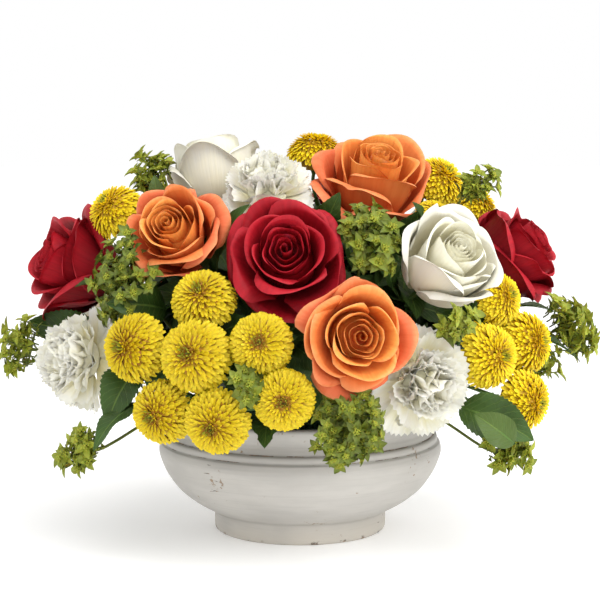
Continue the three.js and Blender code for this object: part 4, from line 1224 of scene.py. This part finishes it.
class CENTERPIECE_OT_greenery(bpy.types.Operator):
    """Builds the stems, cups and leaves of each side and replaces their CAD solids"""

    bl_idname = "centerpiece.greenery"
    bl_label = "Stems and leaves"

    LEAVE = 24  # how far behind a rose's or carnation's foot the stem to the hub starts
    FORK, CUP = 46, 3.2  # how far below the heads of a spray their stalks meet, and the radius of their cups
    STEM_SEED, FILLER_SEED = 5, 23

    def execute(self, context):
        green = context.scene.centerpiece_green
        finishes = [stem_finish(tuple(green.stem)), leaf_finish(tuple(green.leaf), tuple(green.vein))]
        greens = {name: Greenery(azimuth) for name, azimuth in SIDES_OF_BOWL.items()}
        rng = np.random.default_rng(self.STEM_SEED)
        for _, middle, face, across, opened in ROSES.values():
            bloom = Bloom(middle, face, rose_depth(across, opened))
            side = self.stem_of(bloom, greens)
            side.skin.tube([bloom.behind(self.LEAVE), bloom.behind(14)], STEM)
            sepals(side.skin, bloom, rng)
        for middle, face, across in CARNATIONS.values():
            bloom = Bloom(middle, face, across * CARNATION_DEPTH)
            calyx(self.stem_of(bloom, greens).skin, bloom)
        self.build_sprays(greens)
        for kind, root, tip, wide, *face in LEAVES:
            root = np.array(root, float)
            side = side_of(greens, root)
            out = facing(*face[0]) if face else unit((root[0], root[1], 60))
            leaf(side.skin, kind, root, tip, wide, out, rng)
            side.twig(root, 0, 0.9, 6)
        filler(greens, green.inner_leaves, green.outer_leaves, self.FILLER_SEED)
        for name, side in greens.items():
            side.skin.piece("leaves_" + name, finishes, "green", name)
        return {"FINISHED"}

    def stem_of(self, bloom, greens):
        """Adds a bloom's stem, and gives the side that it is on."""
        start = bloom.behind(self.LEAVE)
        side = side_of(greens, start)
        side.stem(start)
        return side

    def build_sprays(self, greens):
        """Adds the forked stems of the chrysanthemums, with the cup under each head."""
        sprays = {}
        for middle, face, across, spray in CHRYSANTHEMUMS.values():
            sprays.setdefault(spray, []).append(Bloom(middle, face, across * CHRYSANTHEMUM_DEPTH))
        for heads in sprays.values():
            mean = np.mean([head.foot for head in heads], axis=0)
            side = side_of(greens, mean)
            fork = mean + unit(side.hub - mean) * (self.FORK if len(heads) > 1 else self.FORK / 2)
            side.stem(fork)
            for head in heads:
                route = curved([fork, head.behind(12), head.behind(2)])
                side.skin.tube(route, np.append(np.full(len(route) - 2, TWIG), (2.0, self.CUP)))


class CENTERPIECE_OT_foam(bpy.types.Operator):
    """Gives the foam its finish"""

    bl_idname = "centerpiece.foam"
    bl_label = "Foam"

    def execute(self, context):
        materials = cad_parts["foam"].data.materials
        materials.clear()
        materials.append(foam_finish(tuple(context.scene.centerpiece_green.foam)))
        return {"FINISHED"}


class CENTERPIECE_OT_bowl(bpy.types.Operator):
    """Builds the bowl, turned round its axis, and replaces its CAD solid"""

    bl_idname = "centerpiece.bowl"
    bl_label = "Bowl"

    # The profile's stretches, as (radius, height), each with the steps of its curve from point to point.
    STRETCHES = (
        (2, ((0.01, 0.3), (30, 0.3), (60, 0.2), (62.4, 0), (63.6, 0.5), (64.3, 2), (64.6, 5), (64.4, 10),
             (64.5, 13.4), (65.4, 15.1))),  # the foot
        (5, ((67.8, 16.3), (73.6, 19.4), (80.2, 23.3), (87.6, 28.9), (93.8, 35), (101, 45.8), (105.2, 56),
             (106.1, 61), (105.5, 64.6))),  # the belly
        (3, ((104.9, 66.2), (103.9, 67), (103.3, 67.8), (103.2, 68.8), (103.1, 70), (102.7, 71.3),
             (101.8, 72.2), (100.7, 72.7), (100, 73.3), (99.6, 74.6))),  # the grooves of the shoulder
        (3, ((98.5, 77.5), (98.4, 80.4), (99.4, 84.3), (100.8, 87), (101.5, 88.7), (101.3, 90.4), (100, 91.5),
             (98, 91.8), (96.2, 91.3), (95.2, 89.8), (94.6, 84))),  # the neck and the lip
        (3, ((93.4, 66), (92, 55), (87, 40), (78, 28), (66, 20), (40, 15), (0.01, 14))),  # the inside
    )

    def execute(self, context):
        bowl = context.scene.centerpiece_bowl
        starts = [points[:1] for _, points in self.STRETCHES[1:]] + [()]
        lines = [curved(points + start, steps) for (steps, points), start in zip(self.STRETCHES, starts)]
        profile = np.vstack([line[:-1] for line in lines[:-1]] + lines[-1:])
        radii, heights = profile[:, :1], profile[:, 1:]
        angles = circle(bowl.sides)
        uneven = 0.22 * np.sin(2 * angles + 0.7) + 0.12 * np.sin(5 * angles + 2)
        uneven = uneven * smooth(2, 12, heights) * smooth(20, 60, radii)
        skin = Skin()
        skin.patch(polar(radii + uneven, angles, heights), 0.5, closed=True)
        finish = whitewash_finish(tuple(bowl.wash), tuple(bowl.under), tuple(bowl.dark))
        skin.piece("turned_bowl", [finish], "bowl", "bowl")
        return {"FINISHED"}


class CENTERPIECE_OT_stage(bpy.types.Operator):
    """Sets the pale floor, the soft lights and the camera"""

    bl_idname = "centerpiece.stage"
    bl_label = "Stage"

    CAMERA_HEIGHT, AIM_HEIGHT = 0.336, 0.17217  # metres
    FLOOR_RADIUS, FLOOR_SIDES = 6.0, 96

    def add(self, thing, place, target):
        """Puts a light or camera in the scene, and aims it."""
        bpy.context.scene.collection.objects.link(thing)
        thing.location = place
        thing.rotation_euler = (Vector(target) - Vector(place)).to_track_quat("-Z", "Y").to_euler()

    def light(self, name, place, target, size, power):
        data = bpy.data.lights.new(name, "AREA")
        data.shape = "DISK"
        data.size = size
        data.energy = power
        self.add(bpy.data.objects.new(name, data), place, target)

    def floor(self):
        mesh = bpy.data.meshes.new("floor")
        ring = polar(self.FLOOR_RADIUS, circle(self.FLOOR_SIDES), 0)
        mesh.from_pydata(ring.tolist(), [], [range(self.FLOOR_SIDES)])
        white = (1, 1, 1, 1)
        finish = Finish("floor_paper", 0.1, Emission_Color=white, Emission_Strength=0.15, Roughness=0.9)
        finish.mottled(finish.noise(400.0), white, 0.97, 0.99)
        mesh.materials.append(finish.material)
        floor = bpy.data.objects.new("floor", mesh)
        bpy.context.scene.collection.objects.link(floor)
        floor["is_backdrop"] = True

    def execute(self, context):
        scene = context.scene
        stage = scene.centerpiece_stage
        scene.world = bpy.data.worlds.new("surroundings")
        scene.world.use_nodes = True
        background = scene.world.node_tree.nodes["Background"]
        background.inputs["Color"].default_value = (1, 1, 1, 1)
        background.inputs["Strength"].default_value = stage.sky
        self.floor()
        self.light("key", (1.2, -1.0, 1.6), (0, 0, 0.15), 2.0, stage.key)
        self.light("top", (-0.4, -0.6, 1.9), (0, 0, 0.1), 1.5, stage.top)
        camera = bpy.data.objects.new("camera", bpy.data.cameras.new("camera"))
        camera.data.lens = stage.lens
        camera.data.sensor_width = 36
        self.add(camera, (0, -stage.distance, self.CAMERA_HEIGHT), (0, 0, self.AIM_HEIGHT))
        scene.camera = camera
        scene.view_settings.view_transform = "Standard"
        return {"FINISHED"}


class CENTERPIECE_PT_panel(bpy.types.Panel):
    """Lists the settings and the operators"""

    bl_idname = "CENTERPIECE_PT_panel"
    bl_label = "Floral Centerpiece"
    bl_space_type = "VIEW_3D"
    bl_region_type = "UI"
    bl_category = "Centerpiece"

    def draw(self, context):
        for group in GROUPS:
            box = self.layout.box()
            settings = getattr(context.scene, group)
            for name in settings.__annotations__:
                box.prop(settings, name)
        for operator in OPERATORS:
            self.layout.operator(operator.bl_idname)


GROUPS = {
    "centerpiece_blooms": CENTERPIECE_PG_blooms,
    "centerpiece_green": CENTERPIECE_PG_green,
    "centerpiece_bowl": CENTERPIECE_PG_bowl,
    "centerpiece_stage": CENTERPIECE_PG_stage,
}
OPERATORS = (
    CENTERPIECE_OT_bowl,
    CENTERPIECE_OT_foam,
    CENTERPIECE_OT_roses,
    CENTERPIECE_OT_carnations,
    CENTERPIECE_OT_chrysanthemums,
    CENTERPIECE_OT_bupleurum,
    CENTERPIECE_OT_greenery,
    CENTERPIECE_OT_stage,
)


def register():
    for name, group in GROUPS.items():
        bpy.utils.register_class(group)
        setattr(bpy.types.Scene, name, bpy.props.PointerProperty(type=group))
    for other in (*OPERATORS, CENTERPIECE_PT_panel):
        bpy.utils.register_class(other)


def unregister():
    for other in (CENTERPIECE_PT_panel, *reversed(OPERATORS)):
        bpy.utils.unregister_class(other)
    for name, group in GROUPS.items():
        delattr(bpy.types.Scene, name)
        bpy.utils.unregister_class(group)


def main():
    register()
    bpy.ops.centerpiece.bowl()
    bpy.ops.centerpiece.foam()
    bpy.ops.centerpiece.roses()
    bpy.ops.centerpiece.carnations()
    bpy.ops.centerpiece.chrysanthemums()
    bpy.ops.centerpiece.bupleurum()
    bpy.ops.centerpiece.greenery()
    bpy.ops.centerpiece.stage()
    boxes = {"cad": CAD_BOUNDS, "visual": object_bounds()}
    {name: [list(corner) for corner in box] for name, box in boxes.items()}


if __name__ == "__main__":
    main()
